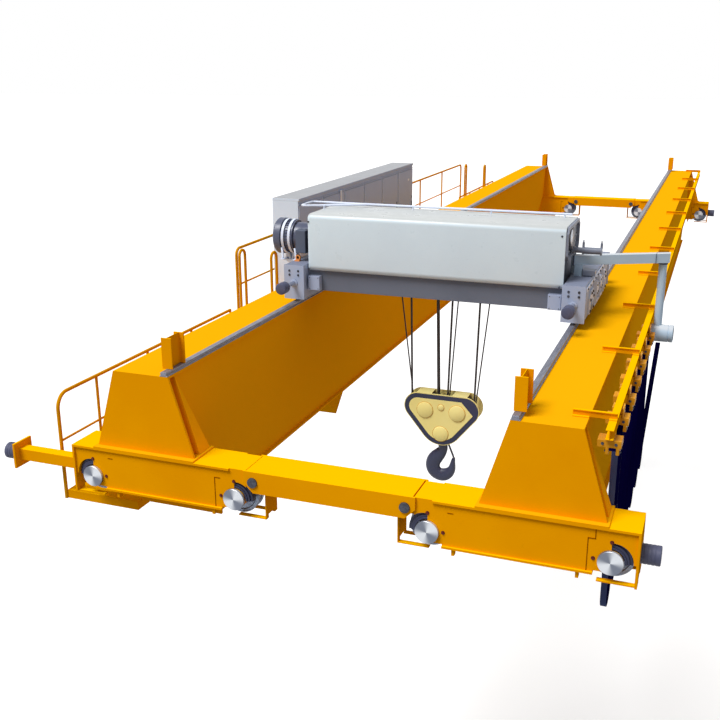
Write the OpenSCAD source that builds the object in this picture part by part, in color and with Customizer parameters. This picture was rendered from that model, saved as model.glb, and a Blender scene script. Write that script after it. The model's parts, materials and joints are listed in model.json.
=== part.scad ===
// Double girder overhead travelling crane with a rope hoist trolley.
// +X runs along the runway, +Y along the span, +Z up.
// The origin is the middle of the span, level with the top of the runway rails.

/* [Bridge] */
// Distance between the centre lines of the two runway rails
span = 18500; // [16500:100:20500]
// How far each girder runs on past the runway rail's centre line
girder_overhang = 130; // [110:1:180]
// Height of a girder at its ends, over its seat plate
girder_end_h = 735; // [650:5:900]
// Full depth of a girder from its top face to its bottom face
girder_depth = 1475; // [1300:5:1600]
// Width of a girder's flanges
flange_w = 560; // [480:5:640]
// How far a flange stands out past the web on each side
flange_lip = 40; // [20:1:60]
// Thickness of a girder's flanges
flange_t = 20; // [12:1:30]
// Length over which a girder deepens from its seat to its full depth
taper_length = 1300; // [900:10:2000]
// Half width of an end box at its foot
endbox_half = 500; // [400:5:600]
// Depth of an end box, along the girder, at its foot
endbox_foot = 290; // [200:5:320]
// Depth of an end box, along the girder, at its top
endbox_head = 100; // [60:5:160]
// How far the end boxes' sides are set in behind their front plate, mm
endbox_recess = 60; // [30:5:70]
// Thickness of the plate under an end box
seat_plate_t = 15; // [10:1:30]

/* [Trolley rails] */
// Distance between the centre lines of the two trolley rails
gauge = 3100; // [2800:10:3300]
// Width of a trolley rail
rail_w = 60; // [50:1:70]
// Height of a trolley rail
rail_h = 40; // [30:1:60]
// Thickness of the rails' foot, mm
rail_foot_t = 10; // [6:1:12]
// Distance from a rail's centre line to the inner edge of its girder's flange
rail_inset = 40; // [35:1:80]
// Distance of the end stops from the rails' ends
stop_inset = 100; // [60:5:150]
// Height of the end stops
stop_h = 285; // [250:5:400]
// Width of the end stops' flanges
stop_w = 105; // [90:5:130]
// Length of the end stops along the rail, mm
stop_len = 225; // [180:5:260]

/* [Carriages] */
// How far a carriage runs on past its girder's outer edge
carriage_reach = 480; // [450:10:700]
// Distance of the outer axle from the carriage's end plate
axle_inset = 210; // [210:5:260]
// Distance of the inner axle from the girder's inner edge
inner_axle = 630; // [500:10:650]
// Distance of a carriage's inner end from the inner axle
inner_nose = 115; // [100:5:130]
// Width of a carriage over its webs
carriage_w = 340; // [320:5:400]
// How far a carriage's flanges stand out past its webs
carriage_lip = 20; // [10:1:30]
// Height of a carriage's underside above the rails
carriage_bottom = 40; // [20:5:60]
// Height of a carriage
carriage_h = 410; // [385:5:450]
// Tread radius of a runway wheel
wheel_r = 165; // [150:1:165]
// Width of a runway wheel's tread
tread_w = 80; // [70:1:90]
// Height and thickness of a runway wheel's flanges
wheel_flange = 15; // [10:1:15]
// Radius of a runway wheel's axle
axle_r = 60; // [40:1:70]
// Radius of the machined cap on each end of an axle
cap_r = 100; // [90:1:120]
// Thickness of that cap
cap_t = 25; // [15:1:40]
// Radial clearance between a shaft and its bore
fit = 0.05; // [0.02:0.01:0.1]

/* [Link beams] */
// How far the link beam runs on past its pins
link_lap = 90; // [80:1:100]
// Height of the link beam's side plates
link_h = 200; // [160:5:220]
// Thickness of the link beam's plates
link_plate_t = 18; // [12:1:18]
// Size of the cut-off lower corners of the link beam
link_cut = 90; // [60:5:110]
// Distance of a link pin from the inner axle
pin_setback = 190; // [175:1:210]
// Radius of a link pin
pin_r = 46; // [36:1:48]
// Drop of the link pins below the carriages' top
pin_drop = 95; // [80:1:110]

/* [Buffers] */
// Radius of a bridge buffer
buffer_r = 80; // [60:1:100]
// Length of a bridge buffer
buffer_len = 150; // [120:5:220]
// Drop of the bridge buffers below the carriages' top
buffer_drop = 255; // [220:5:280]
// Length of the buffer arms on one side of the bridge
arm_len = 725; // [400:5:900]
// Width of a square buffer arm
arm_w = 115; // [80:5:140]
// Width of the square plate at the end of a buffer arm
arm_plate_w = 250; // [200:5:280]
// Thickness of that plate
arm_plate_t = 25; // [15:1:30]

/* [Walkway] */
// Distance from each runway rail to the end of the upper walkway
walkway_setback = 3700; // [3200:50:4600]
// Width of the walkway beyond the girder's edge
walkway_w = 800; // [750:10:1000]
// Drop of the walkway's floor below the girder's top
walkway_drop = 685; // [600:5:800]
// Thickness of the walkway's floor
floor_t = 30; // [20:1:40]
// Height of the upper handrail above the walkway's floor
handrail_h = 1050; // [1000:10:1100]
// Height of the handrails' middle tube below the top tube
midrail_drop = 470; // [400:10:550]
// Radius of a handrail's top tube and posts
handrail_r = 18; // [16:1:25]
// Radius of a handrail's middle tube
midrail_r = 12; // [8:1:15]
// Bend radius at the handrails' end corners
handrail_bend = 150; // [80:5:200]
// Height of the toe board
toe_h = 100; // [80:5:150]
// Number of brackets under the walkway
bracket_count = 8; // [6:1:10]

/* [Platforms] */
// Distance of a platform's end from the runway rail's centre line
platform_start = 100; // [100:10:300]
// How far a low platform runs on under the upper walkway
platform_lap = 300; // [180:10:400]
// Height of a platform's frame
platform_t = 90; // [70:5:90]
// Height of the top tube of the low handrails above the platform
low_rail_h = 980; // [900:10:1050]

/* [Cabinets] */
// Number of control cabinets
cabinet_count = 6; // [4:1:6]
// Distance from one cabinet to the next
cabinet_pitch = 822; // [700:1:850]
// Depth of a cabinet
cabinet_d = 370; // [300:5:400]
// Height of a cabinet
cabinet_h = 1600; // [1400:10:1800]
// Distance of the cabinets' fronts from the girder's edge
cabinet_gap = 260; // [200:5:320]
// Distance of the first cabinet from the walkway's near end
cabinet_setback = 820; // [450:10:1000]

/* [Trolley] */
// Distance of the trolley's middle from the near runway rail
trolley_rest = 3630; // [2750:5:6500]
// Length of a trolley carriage
tc_len = 1980; // [1900:10:2300]
// Width of a trolley carriage
tc_w = 220; // [200:5:240]
// Height of a trolley carriage's box
tc_h = 375; // [330:5:420]
// Gap between the rail and the underside of a trolley carriage
tc_gap = 40; // [20:1:60]
// Distance of a trolley wheel from the trolley's middle
tw_y = 515; // [480:5:600]
// Tread radius of a trolley wheel
tw_r = 125; // [110:1:140]
// Height of a trolley wheel's flanges
tw_flange = 15; // [10:1:20]
// Radius of a trolley wheel's axle
tw_axle_r = 35; // [25:1:45]
// Distance from the trolley's near end to the hook's centre line
hook_from_end = 720; // [680:5:800]
// Radius of a trolley buffer
tb_r = 65; // [50:1:80]
// Length of a trolley buffer
tb_len = 125; // [100:5:160]
// Length of the rod that carries a trolley buffer
tb_rod = 240; // [150:5:300]

/* [Hoist] */
// Radius of the rope drum
drum_r = 195; // [170:1:200]
// Distance of the drum's ends inside the cover's ends
drum_inset = 65; // [55:5:200]
// Height of the drum's axis above the trolley carriages
drum_rise = 240; // [230:5:300]
// Distance from the trolley rail's centre line to the end of the hoist's cover
cover_gap = 125; // [120:1:130]
// Height of the cover
cover_h = 680; // [640:5:720]
// Depth of the cover along the span
cover_d = 810; // [780:5:850]
// Thickness of the cover's sheet
cover_t = 4; // [3:0.5:6]
// Corner radius of the cover
cover_round = 60; // [30:5:90]
// Radius of the hoist motor
motor_r = 190; // [170:1:195]
// Length of the hoist motor
motor_len = 145; // [130:5:200]
// Radius of the motor's fan cowl
cowl_r = 206; // [196:1:215]
// Length of the motor's fan cowl
cowl_len = 100; // [80:5:160]

/* [Hook block] */
// Radius of a rope
rope_r = 11; // [8:0.5:14]
// Radius of a block sheave
sheave_r = 160; // [150:1:165]
// Distance of a sheave's axle from the hook's centre line
sheave_x = 215; // [210:1:230]
// Height of the sheaves' axles
sheave_z = -65; // [-300:5:100]
// How far the hook block hangs from the middle of the trolley, mm
hook_x = 20; // [0:1:40]
// Radius of the block plates' upper corners
plate_corner_r = 170; // [160:1:180]
// Radius of the block plates' rounded foot
plate_foot_r = 270; // [200:5:290]
// Distance of those corners' centres from the hook's centre line
plate_corner_x = 285; // [270:1:300]
// Distance between the two block plates
block_gap = 176; // [170:1:200]
// Thickness of a block plate
plate_t = 14; // [10:1:20]
// Drop from the sheaves' axles to the crosshead
crosshead_drop = 340; // [320:5:360]
// Radius of the hook's shank
shank_r = 34; // [28:1:40]
// Outer radius of the hook's bowl
bowl_r = 183; // [150:1:190]
// Radius of the hook's throat
throat_r = 55; // [45:1:60]
// Thickness of the hook
hook_t = 100; // [80:2:120]
// Distance from the crosshead to the middle of the hook's bowl
bowl_drop = 440; // [410:5:480]

/* [Festoon] */
// Distance of the festoon track's centre line from the girder's edge
track_gap = 180; // [170:5:220]
// Width of the festoon track's flanges
track_w = 60; // [56:1:70]
// Height of the festoon track
track_h = 80; // [76:1:100]
// Thickness of the festoon track's web and flanges
track_wall = 6; // [4:0.5:8]
// Number of festoon brackets
festoon_brackets_n = 11; // [7:1:13]
// Number of cable loops
loops = 7; // [5:1:7]
// Length of a cable carrier along the track
carrier_len = 140; // [100:5:150]
// Width of a cable carrier across the track
carrier_w = 180; // [170:2:190]
// Width of the flat cable pack
cable_w = 50; // [40:5:110]
// Thickness of the flat cable pack
cable_t = 20; // [10:1:24]
// Depth of the cable loops below the girder's top
loop_depth = 1720; // [1400:5:1900]
// How far the cable pack's centre stands out past the track's centre line
cable_shift = 25; // [0:1:40]

/* [Hidden] */
$fn = 64;

PAINT = "gold";
STEEL = "silver";
DARK = "dimgray";
COVER = "lightgray";
RUBBER = "darkslategray";
CABLE = "midnightblue";
CLIP = "chocolate";

rail_line = span / 2;
girder_end = rail_line + girder_overhang;
carriage_top = carriage_bottom + carriage_h;
seat_z = carriage_top + seat_plate_t;
girder_top = seat_z + girder_end_h;
girder_bottom = girder_top - girder_depth;
girder_in = gauge / 2 - rail_inset;
girder_out = girder_in + flange_w;
girder_mid = girder_in + flange_w / 2;
web_out = girder_out - flange_lip;
rail_top = girder_top + rail_h;
stop_y = girder_end - stop_len - stop_inset;
stop_x = gauge / 2 + 15;

carriage_end = girder_out + carriage_reach;
carriage_plate = 20;
wheel_far = carriage_end - axle_inset;
wheel_near = girder_in - inner_axle;
carriage_start = wheel_near - inner_nose;
pin_x = wheel_near - pin_setback;
pin_z = carriage_top - pin_drop;
link_half = pin_x + link_lap;
buffer_z = carriage_top - buffer_drop;
carriage_in = rail_line - carriage_w / 2 - carriage_lip;
carriage_out = rail_line + carriage_w / 2 + carriage_lip;
// The girders' underside starts to fall where it has left the end box and the carriage below it.
fall_y = min(girder_end - endbox_foot, carriage_in) - 10;
pocket_half = tread_w / 2 + wheel_flange + 15;
pocket_top = wheel_r * 2 + wheel_flange + 8;
window_r = cap_r + 50;
window_shift = 20;
lower_start = wheel_near + window_r - 25;
lower_end = wheel_far - window_r + 20;
cap_gap = 5;
cap_face = carriage_w / 2 + cap_gap + cap_t;
tongue_w = carriage_w - 40;
link_top = carriage_top + 5;
tongue_top = link_top - link_plate_t - 5;
tongue_bottom = pin_z - 65;
tongue_start = pin_x - 75;
guard_z = -20;
rail_notch_w = 150;
rail_notch_h = 15;
guard_t = 12;
guard_w = 50;

toe_t = 6;
seat_gap = 0.3;
walkway_half = rail_line - walkway_setback;
walkway_edge = girder_out + walkway_w;
walkway_z = girder_top - walkway_drop;
post_x = walkway_edge - handrail_r - toe_t;
walkway_rail_z = walkway_z + handrail_h;
post_half = walkway_half - 30;
walkway_bend = handrail_bend * 0.6;
post_count = bracket_count;
bracket_t = 12;
bracket_root = 160;
bracket_tip = 60;
platform_out = walkway_edge + 10;
platform_in = girder_out + 5;
platform_y = rail_line - platform_start;
platform_end = walkway_half - platform_lap;
platform_len = platform_y - platform_end;
platform_under = girder_bottom;
platform_z = platform_under + platform_t;
cabinet_front = girder_out + cabinet_gap;
cabinet_start = -walkway_half + cabinet_setback;
low_post_x = platform_out + handrail_r;
low_rail_z = platform_z + low_rail_h;
low_rail_end = platform_end + 400;
frame_t = 12;
stile_r = 18;
rung_r = 12;
rung_pitch = 280;
ladder_w = 440;
ladder_mid = girder_out + 450;
hoop_w = 150;
hoop_y = walkway_half - 60;
hoop_top = walkway_rail_z;
vee_half = 250;
vee_depth = 220;
hanger_w = 60;
hanger_t = 15;
hanger_reach = 220;

trolley_y = -rail_line + trolley_rest;
trolley_near = trolley_y - tc_len / 2;
trolley_far = trolley_y + tc_len / 2;
tc_x = gauge / 2;
tc_bottom = rail_top + tc_gap;
tc_top = tc_bottom + tc_h;
tc_inner = tc_x - tc_w / 2;
tw_z = rail_top + tw_r;
tc_plate_t = 20;
tc_plate_lip = 10;
tw_tread = rail_w + 10;
tw_flange_t = 12;
tw_pocket = tw_tread / 2 + tw_flange_t + 8;
tw_cap_t = 20;
tb_z = tc_bottom + tc_h / 2 - 10;
hook_y = trolley_near + hook_from_end;
rope_plane = 35;
rope_gap = 0.3;
rope_seat = 0.7;
sheave_w = 50;
sheave_axle_r = 30;
neck_half = 60;
block_guard_w = 180;
latch_w = 30;
latch_t = 8;
bowl_z = sheave_z - crosshead_drop - bowl_drop;
hook_top = sheave_z - crosshead_drop - 110;
drum_y = hook_y - rope_plane - drum_r - rope_r;
drum_z = tc_top + drum_rise;
beam_z = tc_bottom + 75;
beam_h = 250;
beam_w = 200;
near_beam_y = trolley_near + 160;
sheave_beam_y = hook_y - rope_plane + rope_r + 20;
sheave_beam_w = 150;
far_beam_y = trolley_far - 300;
cover_half = tc_x - cover_gap;
drum_half = cover_half - drum_inset;
cover_y = trolley_near + 100;
cover_z = tc_top - 110;
drum_plate_t = 25;
drum_plate_x = drum_half + 15;
shaft_r = 45;
gear_x = cover_half + 25;
gear_cut = 60;
switch_r = 35;
switch_len = 295;
switch_z = drum_z + 40;
motor_x = cover_half + 275;
neck_r = motor_r - 25;
strap_w = 30;
strap_t = 8;
strap_pitch = 80;
strap_z = tc_top - 40;
tow_w = 110;
tow_h = 100;
arm_y = cover_y + cover_d + 80;
arm_z = tc_top + 115;
arm_back = 450;
track_x = girder_out + track_gap;
arm_tip = track_x + 150;
drop_r = 43;
drop_x = arm_tip - drop_r - 22;
clamp_r = 95;
clamp_in = 70;
clamp_out = 170;
clamp_z = girder_top - 215;

track_z = girder_top - track_h;
cable_x = track_x + cable_shift;
festoon_start = -girder_end + 150;
festoon_end = arm_y;
loop_pitch = (festoon_end - festoon_start) / loops;
loop_bottom = girder_top - loop_depth;
carrier_top = track_z - 15;
carrier_h = 60;
cable_z = carrier_top - carrier_h;
cable_under = cable_z - cable_t;
clamp_lip = 35;
clamp_tab = 25;
cheek_gap = 4;
cheek_t = 12;
cheek_in = track_w / 2 + cheek_gap;
cheek_out = cheek_in + cheek_t;
cheek_top = girder_top - 15;
cheek_half = 62;
roller_r = 22;
roller_y = 36;
roller_z = track_z + track_wall + roller_r + 0.3;
roller_in = track_wall / 2 + 8;
bracket_pitch = 2 * (girder_end - 280) / (festoon_brackets_n - 1);
festoon_bracket_h = 55;
festoon_bracket_w = 60;
festoon_bracket_t = 8;
festoon_bracket_in = girder_out - 130;

// A box given by its low and high corners.
module span_box(low, high) {
  translate(low) cube(high - low);
}

// A profile drawn with x along the span and y up, pulled along X from x0 to x1.
module pull_x(x0, x1) {
  translate([x0, 0, 0])
    rotate([90, 0, 90])
      linear_extrude(x1 - x0) children();
}

// A profile drawn with x along the runway and y up, pulled along Y from y0 to y1.
module pull_y(y0, y1) {
  translate([0, y1, 0])
    rotate([90, 0, 0])
      linear_extrude(y1 - y0) children();
}

module rod_x(x0, x1, y, z, r) {
  translate([x0, y, z]) rotate([0, 90, 0]) cylinder(h = x1 - x0, r = r);
}

module rod_y(x, y0, y1, z, r) {
  translate([x, y1, z]) rotate([90, 0, 0]) cylinder(h = y1 - y0, r = r);
}

module rod_z(x, y, z0, z1, r) {
  translate([x, y, z0]) cylinder(h = z1 - z0, r = r);
}

// The same shape at both ends of the span.
module both_ends() {
  children();
  mirror([0, 1, 0]) children();
}

// The same shape on both sides of the bridge.
module both_sides() {
  children();
  mirror([1, 0, 0]) children();
}

// One girder on the +X side: box, flanges, end boxes and seat plates.
module girder() {
  pull_x(girder_in + flange_lip, web_out) polygon([
    [-girder_end + endbox_head, seat_z],
    [-fall_y, seat_z],
    [-fall_y + taper_length, girder_bottom],
    [fall_y - taper_length, girder_bottom],
    [fall_y, seat_z],
    [girder_end - endbox_head, seat_z],
    [girder_end - endbox_head, girder_top],
    [-girder_end + endbox_head, girder_top]
  ]);
  span_box([girder_in, -girder_end, girder_top - flange_t], [girder_out, girder_end, girder_top]);
  span_box(
    [girder_in, -fall_y + taper_length, girder_bottom],
    [girder_out, fall_y - taper_length, girder_bottom + flange_t]
  );
  both_ends() end_box();
}

module end_box() {
  difference() {
    tapered_box();
    for (side = [-1, 1])
      pull_y(-girder_end + 25, -girder_end + 105) polygon([
        [girder_mid + side * (endbox_half - endbox_recess), seat_z],
        [girder_mid + side * (endbox_half + 50), seat_z],
        [girder_mid + side * (flange_w / 2 + 50), girder_top],
        [girder_mid + side * (flange_w / 2 - endbox_recess), girder_top]
      ]);
  }
  span_box(
    [girder_mid - endbox_half - 20, -carriage_out, carriage_top],
    [girder_mid + endbox_half + 20, -fall_y, seat_z]
  );
}

module tapered_box() {
  intersection() {
    pull_y(-girder_end, -girder_end + endbox_foot) polygon([
      [girder_mid - endbox_half, seat_z],
      [girder_mid + endbox_half, seat_z],
      [girder_out, girder_top],
      [girder_in, girder_top]
    ]);
    pull_x(girder_mid - endbox_half, girder_mid + endbox_half) polygon([
      [-girder_end, seat_z],
      [-girder_end + endbox_foot, seat_z],
      [-girder_end + endbox_head, girder_top],
      [-girder_end, girder_top]
    ]);
  }
}

module girder_right() {
  color(PAINT) girder();
}

module girder_left() {
  color(PAINT) mirror([1, 0, 0]) girder();
}

module trolley_rails() {
  color(STEEL) both_sides()
    pull_y(-girder_end, girder_end) union() {
      translate([tc_x - rail_inset, girder_top]) square([2 * rail_inset, rail_foot_t]);
      translate([tc_x - rail_w / 2, girder_top]) square([rail_w, rail_h]);
    }
}

// An upright length of H section standing on each end of each rail.
module end_stops() {
  color(PAINT) both_ends() both_sides()
    translate([stop_x, -stop_y - stop_len, rail_top])
      linear_extrude(stop_h) {
        translate([-stop_w / 2, 0]) square([stop_w, 12]);
        translate([-stop_w / 2, stop_len - 12]) square([stop_w, 12]);
        translate([-4, 0]) square([8, stop_len]);
      }
}

// One carriage on the +X side of the rail line through y = 0.
module carriage() {
  half = carriage_w / 2;
  difference() {
    union() {
      span_box([carriage_start, -half, carriage_bottom + 30], [carriage_end - carriage_plate, half, carriage_top]);
      span_box([lower_start, -half, carriage_bottom], [lower_end, half, carriage_top]);
      span_box(
        [carriage_start + 155, -half - carriage_lip, carriage_top - carriage_plate],
        [carriage_end, half + carriage_lip, carriage_top]
      );
      span_box(
        [lower_start, -half - carriage_lip, carriage_bottom],
        [lower_end, half + carriage_lip, carriage_bottom + carriage_plate]
      );
      span_box(
        [carriage_end - carriage_plate, -half - carriage_lip, guard_z],
        [carriage_end, half + carriage_lip, carriage_top]
      );
      span_box([tongue_start, -tongue_w / 2, tongue_bottom], [carriage_start, tongue_w / 2, tongue_top]);
      for (side = [-1, 1], x = [lower_start + 80, lower_end - 130])
        span_box(
          [x, side * (half - guard_w / 2) - guard_w / 2, guard_z],
          [x + 25, side * (half - guard_w / 2) + guard_w / 2, carriage_bottom + 1]
        );
      for (side = [-1, 1])
        translate([0, side * (half - guard_w / 2), 0])
          span_box(
            [wheel_far - 100, -guard_w / 2, guard_z],
            [carriage_end - carriage_plate, guard_w / 2, guard_z + guard_t]
          );
    }
    for (x = [wheel_near, wheel_far])
      span_box(
        [x - wheel_r - 26, -pocket_half, guard_z - 30],
        [min(x + wheel_r + 26, carriage_end - carriage_plate), pocket_half, pocket_top]
      );
    span_box(
      [carriage_end - carriage_plate - 1, -rail_notch_w / 2, guard_z - 1],
      [carriage_end + 1, rail_notch_w / 2, rail_notch_h]
    );
    wheel_window(wheel_near, carriage_start - 1 - wheel_near);
    wheel_window(wheel_far, carriage_end - carriage_plate - wheel_far);
    for (x = [wheel_near, wheel_far])
      rod_y(x, -half - 50, half + 50, wheel_r, axle_r + fit);
    rod_y(pin_x, -half, half, pin_z, pin_r + fit);
  }
}

// A window in both side plates round one side of the axle's boss, open below axle height.
// reach is how far the opening goes from the axle, with its sign.
module wheel_window(x, reach) {
  half = carriage_w / 2;
  side = sign(reach);
  difference() {
    union() {
      intersection() {
        rod_y(x + side * window_shift, -half - 1, half + 1, wheel_r + 10, window_r);
        span_box(
          [min(x, x + side * 2 * window_r), -half - 2, 0],
          [max(x, x + side * 2 * window_r), half + 2, carriage_top - carriage_plate]
        );
      }
      span_box(
        [min(x, x + reach), -half - 1, guard_z + guard_t],
        [max(x, x + reach), half + 1, wheel_r]
      );
    }
    rod_y(x, -half - 2, half + 2, wheel_r, cap_r - 6);
  }
}

module carriages_near() {
  color(PAINT) both_sides() translate([0, -rail_line, 0]) carriage();
}

module carriages_far() {
  color(PAINT) both_sides() translate([0, rail_line, 0]) carriage();
}

module link_beam() {
  outer = carriage_w / 2 + carriage_lip;
  for (side = [-1, 1])
    difference() {
      pull_y(side > 0 ? outer - link_plate_t : -outer, side > 0 ? outer : -outer + link_plate_t) polygon([
        [-link_half, link_top],
        [-link_half, link_top - link_h + link_cut],
        [-link_half + link_cut, link_top - link_h],
        [link_half - link_cut, link_top - link_h],
        [link_half, link_top - link_h + link_cut],
        [link_half, link_top]
      ]);
      for (x = [-pin_x, pin_x]) rod_y(x, -outer - 5, outer + 5, pin_z, pin_r + fit);
    }
  span_box([-carriage_start + 10, -outer, link_top - link_plate_t], [carriage_start - 10, outer, link_top]);
}

module link_beams() {
  color(PAINT) both_ends() translate([0, -rail_line, 0]) link_beam();
}

module link_pins() {
  outer = carriage_w / 2 + carriage_lip + 15;
  color(DARK) both_ends() for (x = [-pin_x, pin_x])
    rod_y(x, -rail_line - outer, -rail_line + outer, pin_z, pin_r);
}

// Guards under the link beams: a plate across the rail and two strips back to the wheel.
module wheel_guards() {
  inner = tread_w / 2 + wheel_flange + 7;
  outer = inner + guard_w;
  color(PAINT) both_ends() both_sides() translate([0, -rail_line, 0]) {
    span_box([tongue_start - guard_t, -outer, rail_notch_h], [tongue_start, outer, pin_z]);
    for (side = [-1, 1])
      translate([0, side * (inner + outer) / 2, 0]) {
        span_box([tongue_start - guard_t, -guard_w / 2, guard_z], [tongue_start, guard_w / 2, pin_z]);
        span_box([tongue_start - guard_t, -guard_w / 2, guard_z], [wheel_near, guard_w / 2, guard_z + guard_t]);
      }
  }
}

// Square arms that carry the buffers on the -X side.
module buffer_arms() {
  color(PAINT) both_ends() translate([0, -rail_line, 0]) {
    span_box(
      [-carriage_end - arm_len, -arm_w / 2, buffer_z - arm_w / 2],
      [-carriage_end, arm_w / 2, buffer_z + arm_w / 2]
    );
    span_box(
      [-carriage_end - arm_len - arm_plate_t, -arm_plate_w / 2, buffer_z - arm_plate_w / 2],
      [-carriage_end - arm_len, arm_plate_w / 2, buffer_z + arm_plate_w / 2]
    );
  }
}

module bridge_buffers() {
  left = -carriage_end - arm_len - arm_plate_t;
  color(RUBBER) both_ends() {
    rod_x(left - buffer_len, left, -rail_line, buffer_z, buffer_r);
    rod_x(carriage_end, carriage_end + buffer_len, -rail_line, buffer_z, buffer_r);
  }
}

// A flanged wheel on its axle, with a machined cap on each end.
module wheel(x, y) {
  color(STEEL) translate([x, y, wheel_r]) rotate([90, 0, 0]) {
    cylinder(h = cap_face * 2, r = axle_r, center = true);
    cylinder(h = tread_w, r = wheel_r, center = true);
    for (side = [-1, 1]) {
      translate([0, 0, side * (tread_w + wheel_flange) / 2])
        cylinder(h = wheel_flange, r = wheel_r + wheel_flange, center = true);
      translate([0, 0, side * (cap_face - cap_t / 2)])
        cylinder(h = cap_t, r = cap_r, center = true);
    }
  }
}

module walkway_floor() {
  color(PAINT) {
    span_box([-walkway_edge, -walkway_half, walkway_z - floor_t], [-web_out, walkway_half, walkway_z]);
    span_box(
      [-walkway_edge, -walkway_half, walkway_z + seat_gap],
      [-walkway_edge + toe_t, walkway_half, walkway_z + toe_h]
    );
  }
}

module walkway_brackets() {
  pitch = 2 * post_half / (bracket_count - 1);
  color(PAINT) for (i = [0:bracket_count - 1])
    pull_y(-post_half + i * pitch - bracket_t / 2, -post_half + i * pitch + bracket_t / 2) polygon([
      [-web_out, walkway_z - floor_t],
      [-web_out, walkway_z - floor_t - bracket_root],
      [-walkway_edge + 20, walkway_z - floor_t - bracket_tip],
      [-walkway_edge + 20, walkway_z - floor_t]
    ]);
}

// A quarter bend of tube in the span's vertical plane, from upright to level.
module tube_bend(x, y, z, bend, r) {
  translate([x, y + bend, z - bend])
    rotate([90, 0, 90])
      rotate([0, 0, 90])
        rotate_extrude(angle = 90) translate([bend, 0]) circle(r);
}

module walkway_handrail() {
  color(PAINT) {
    both_ends() {
      rod_z(-post_x, -post_half, walkway_z, walkway_rail_z - walkway_bend, handrail_r);
      tube_bend(-post_x, -post_half, walkway_rail_z, walkway_bend, handrail_r);
    }
    rod_y(-post_x, -post_half + walkway_bend, post_half - walkway_bend, walkway_rail_z, handrail_r);
    rod_y(-post_x, -post_half, post_half, walkway_rail_z - midrail_drop, midrail_r);
    for (i = [1:post_count - 2])
      rod_z(-post_x, -post_half + i * 2 * post_half / (post_count - 1), walkway_z, walkway_rail_z, handrail_r - 3);
  }
}

// A shallow tray: floor plate with a frame around it, open below.
module platforms() {
  color(PAINT) both_ends() difference() {
    span_box([-platform_out, -platform_y, platform_under], [-platform_in, -platform_end, platform_z]);
    span_box(
      [-platform_out + frame_t, -platform_y + frame_t, platform_under - 1],
      [-platform_in - frame_t, -platform_end - frame_t, platform_z - frame_t]
    );
  }
}

// Vee-shaped beams under the girder and hangers on its web carry the platforms.
module platform_beams() {
  vee_y = -platform_end - vee_half;
  color(PAINT) both_ends() {
    pull_x(-platform_out, -girder_in) polygon([
      [vee_y - vee_half, platform_under],
      [vee_y + vee_half, platform_under],
      [vee_y, platform_under - vee_depth]
    ]);
    span_box(
      [-platform_in, -carriage_in - 30, platform_z - 10],
      [-wheel_near - 325, -carriage_in - 5, carriage_bottom]
    );
    for (share = [0.3, 0.6])
      translate([0, -platform_y + share * platform_len, 0]) {
        span_box(
          [-web_out - hanger_t, -hanger_w / 2, platform_z],
          [-web_out, hanger_w / 2, platform_z + hanger_reach * 2]
        );
        span_box(
          [-web_out - hanger_reach, -hanger_w / 2, platform_z],
          [-web_out, hanger_w / 2, platform_z + hanger_t]
        );
      }
  }
}

module platform_handrails() {
  posts = [0.18, 0.45, 0.72, 1];
  run = platform_y - low_rail_end;
  color(PAINT) both_ends() {
    rod_z(-low_post_x, -platform_y, platform_under, low_rail_z - handrail_bend, handrail_r);
    tube_bend(-low_post_x, -platform_y, low_rail_z, handrail_bend, handrail_r);
    rod_y(-low_post_x, -platform_y + handrail_bend, -low_rail_end, low_rail_z, handrail_r);
    rod_y(-low_post_x, -platform_y, -low_rail_end, low_rail_z - midrail_drop, midrail_r);
    for (share = posts)
      rod_z(-low_post_x, -platform_y + share * run, platform_under, low_rail_z, handrail_r - 3);
  }
}

// Ladder from the low platform to the walkway. Its stiles rise and bend over as hoops.
module ladders() {
  hoop_r = hoop_w / 2;
  rungs = floor((walkway_z - floor_t - platform_z - 60) / rung_pitch);
  color(PAINT) both_ends() {
    for (x = [-ladder_mid - ladder_w / 2, -ladder_mid + ladder_w / 2]) {
      rod_z(x, -hoop_y - hoop_w, platform_z, hoop_top - hoop_r, stile_r);
      rod_z(x, -hoop_y, walkway_z, hoop_top - hoop_r, stile_r);
      translate([x, -hoop_y - hoop_r, hoop_top - hoop_r])
        rotate([90, 0, 90])
          rotate_extrude(angle = 180) translate([hoop_r, 0]) circle(stile_r);
    }
    for (i = [1:rungs])
      rod_x(
        -ladder_mid - ladder_w / 2, -ladder_mid + ladder_w / 2,
        -hoop_y - hoop_w, platform_z + i * rung_pitch, rung_r
      );
  }
}

module control_cabinets() {
  back = cabinet_front + cabinet_d;
  color(COVER) for (i = [0:cabinet_count - 1])
    translate([0, cabinet_start + i * cabinet_pitch, walkway_z]) {
      span_box([-back + 20, 10, 0], [-cabinet_front - 20, cabinet_pitch - 15, 60]);
      span_box([-back, 0, 60], [-cabinet_front, cabinet_pitch - 5, cabinet_h - 30]);
      span_box([-back, 0, cabinet_h - 30], [-cabinet_front + 15, cabinet_pitch - 5, cabinet_h]);
    }
}

// I-section track under the brackets, with its top flange level with the girder's top.
module festoon_track() {
  half = track_w / 2;
  reach = girder_end - 40;
  color(PAINT) pull_y(-reach, reach) {
    translate([track_x - half, girder_top - track_wall]) square([track_w, track_wall]);
    translate([track_x - half, track_z]) square([track_w, track_wall]);
    translate([track_x - track_wall / 2, track_z]) square([track_wall, track_h]);
  }
}

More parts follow.
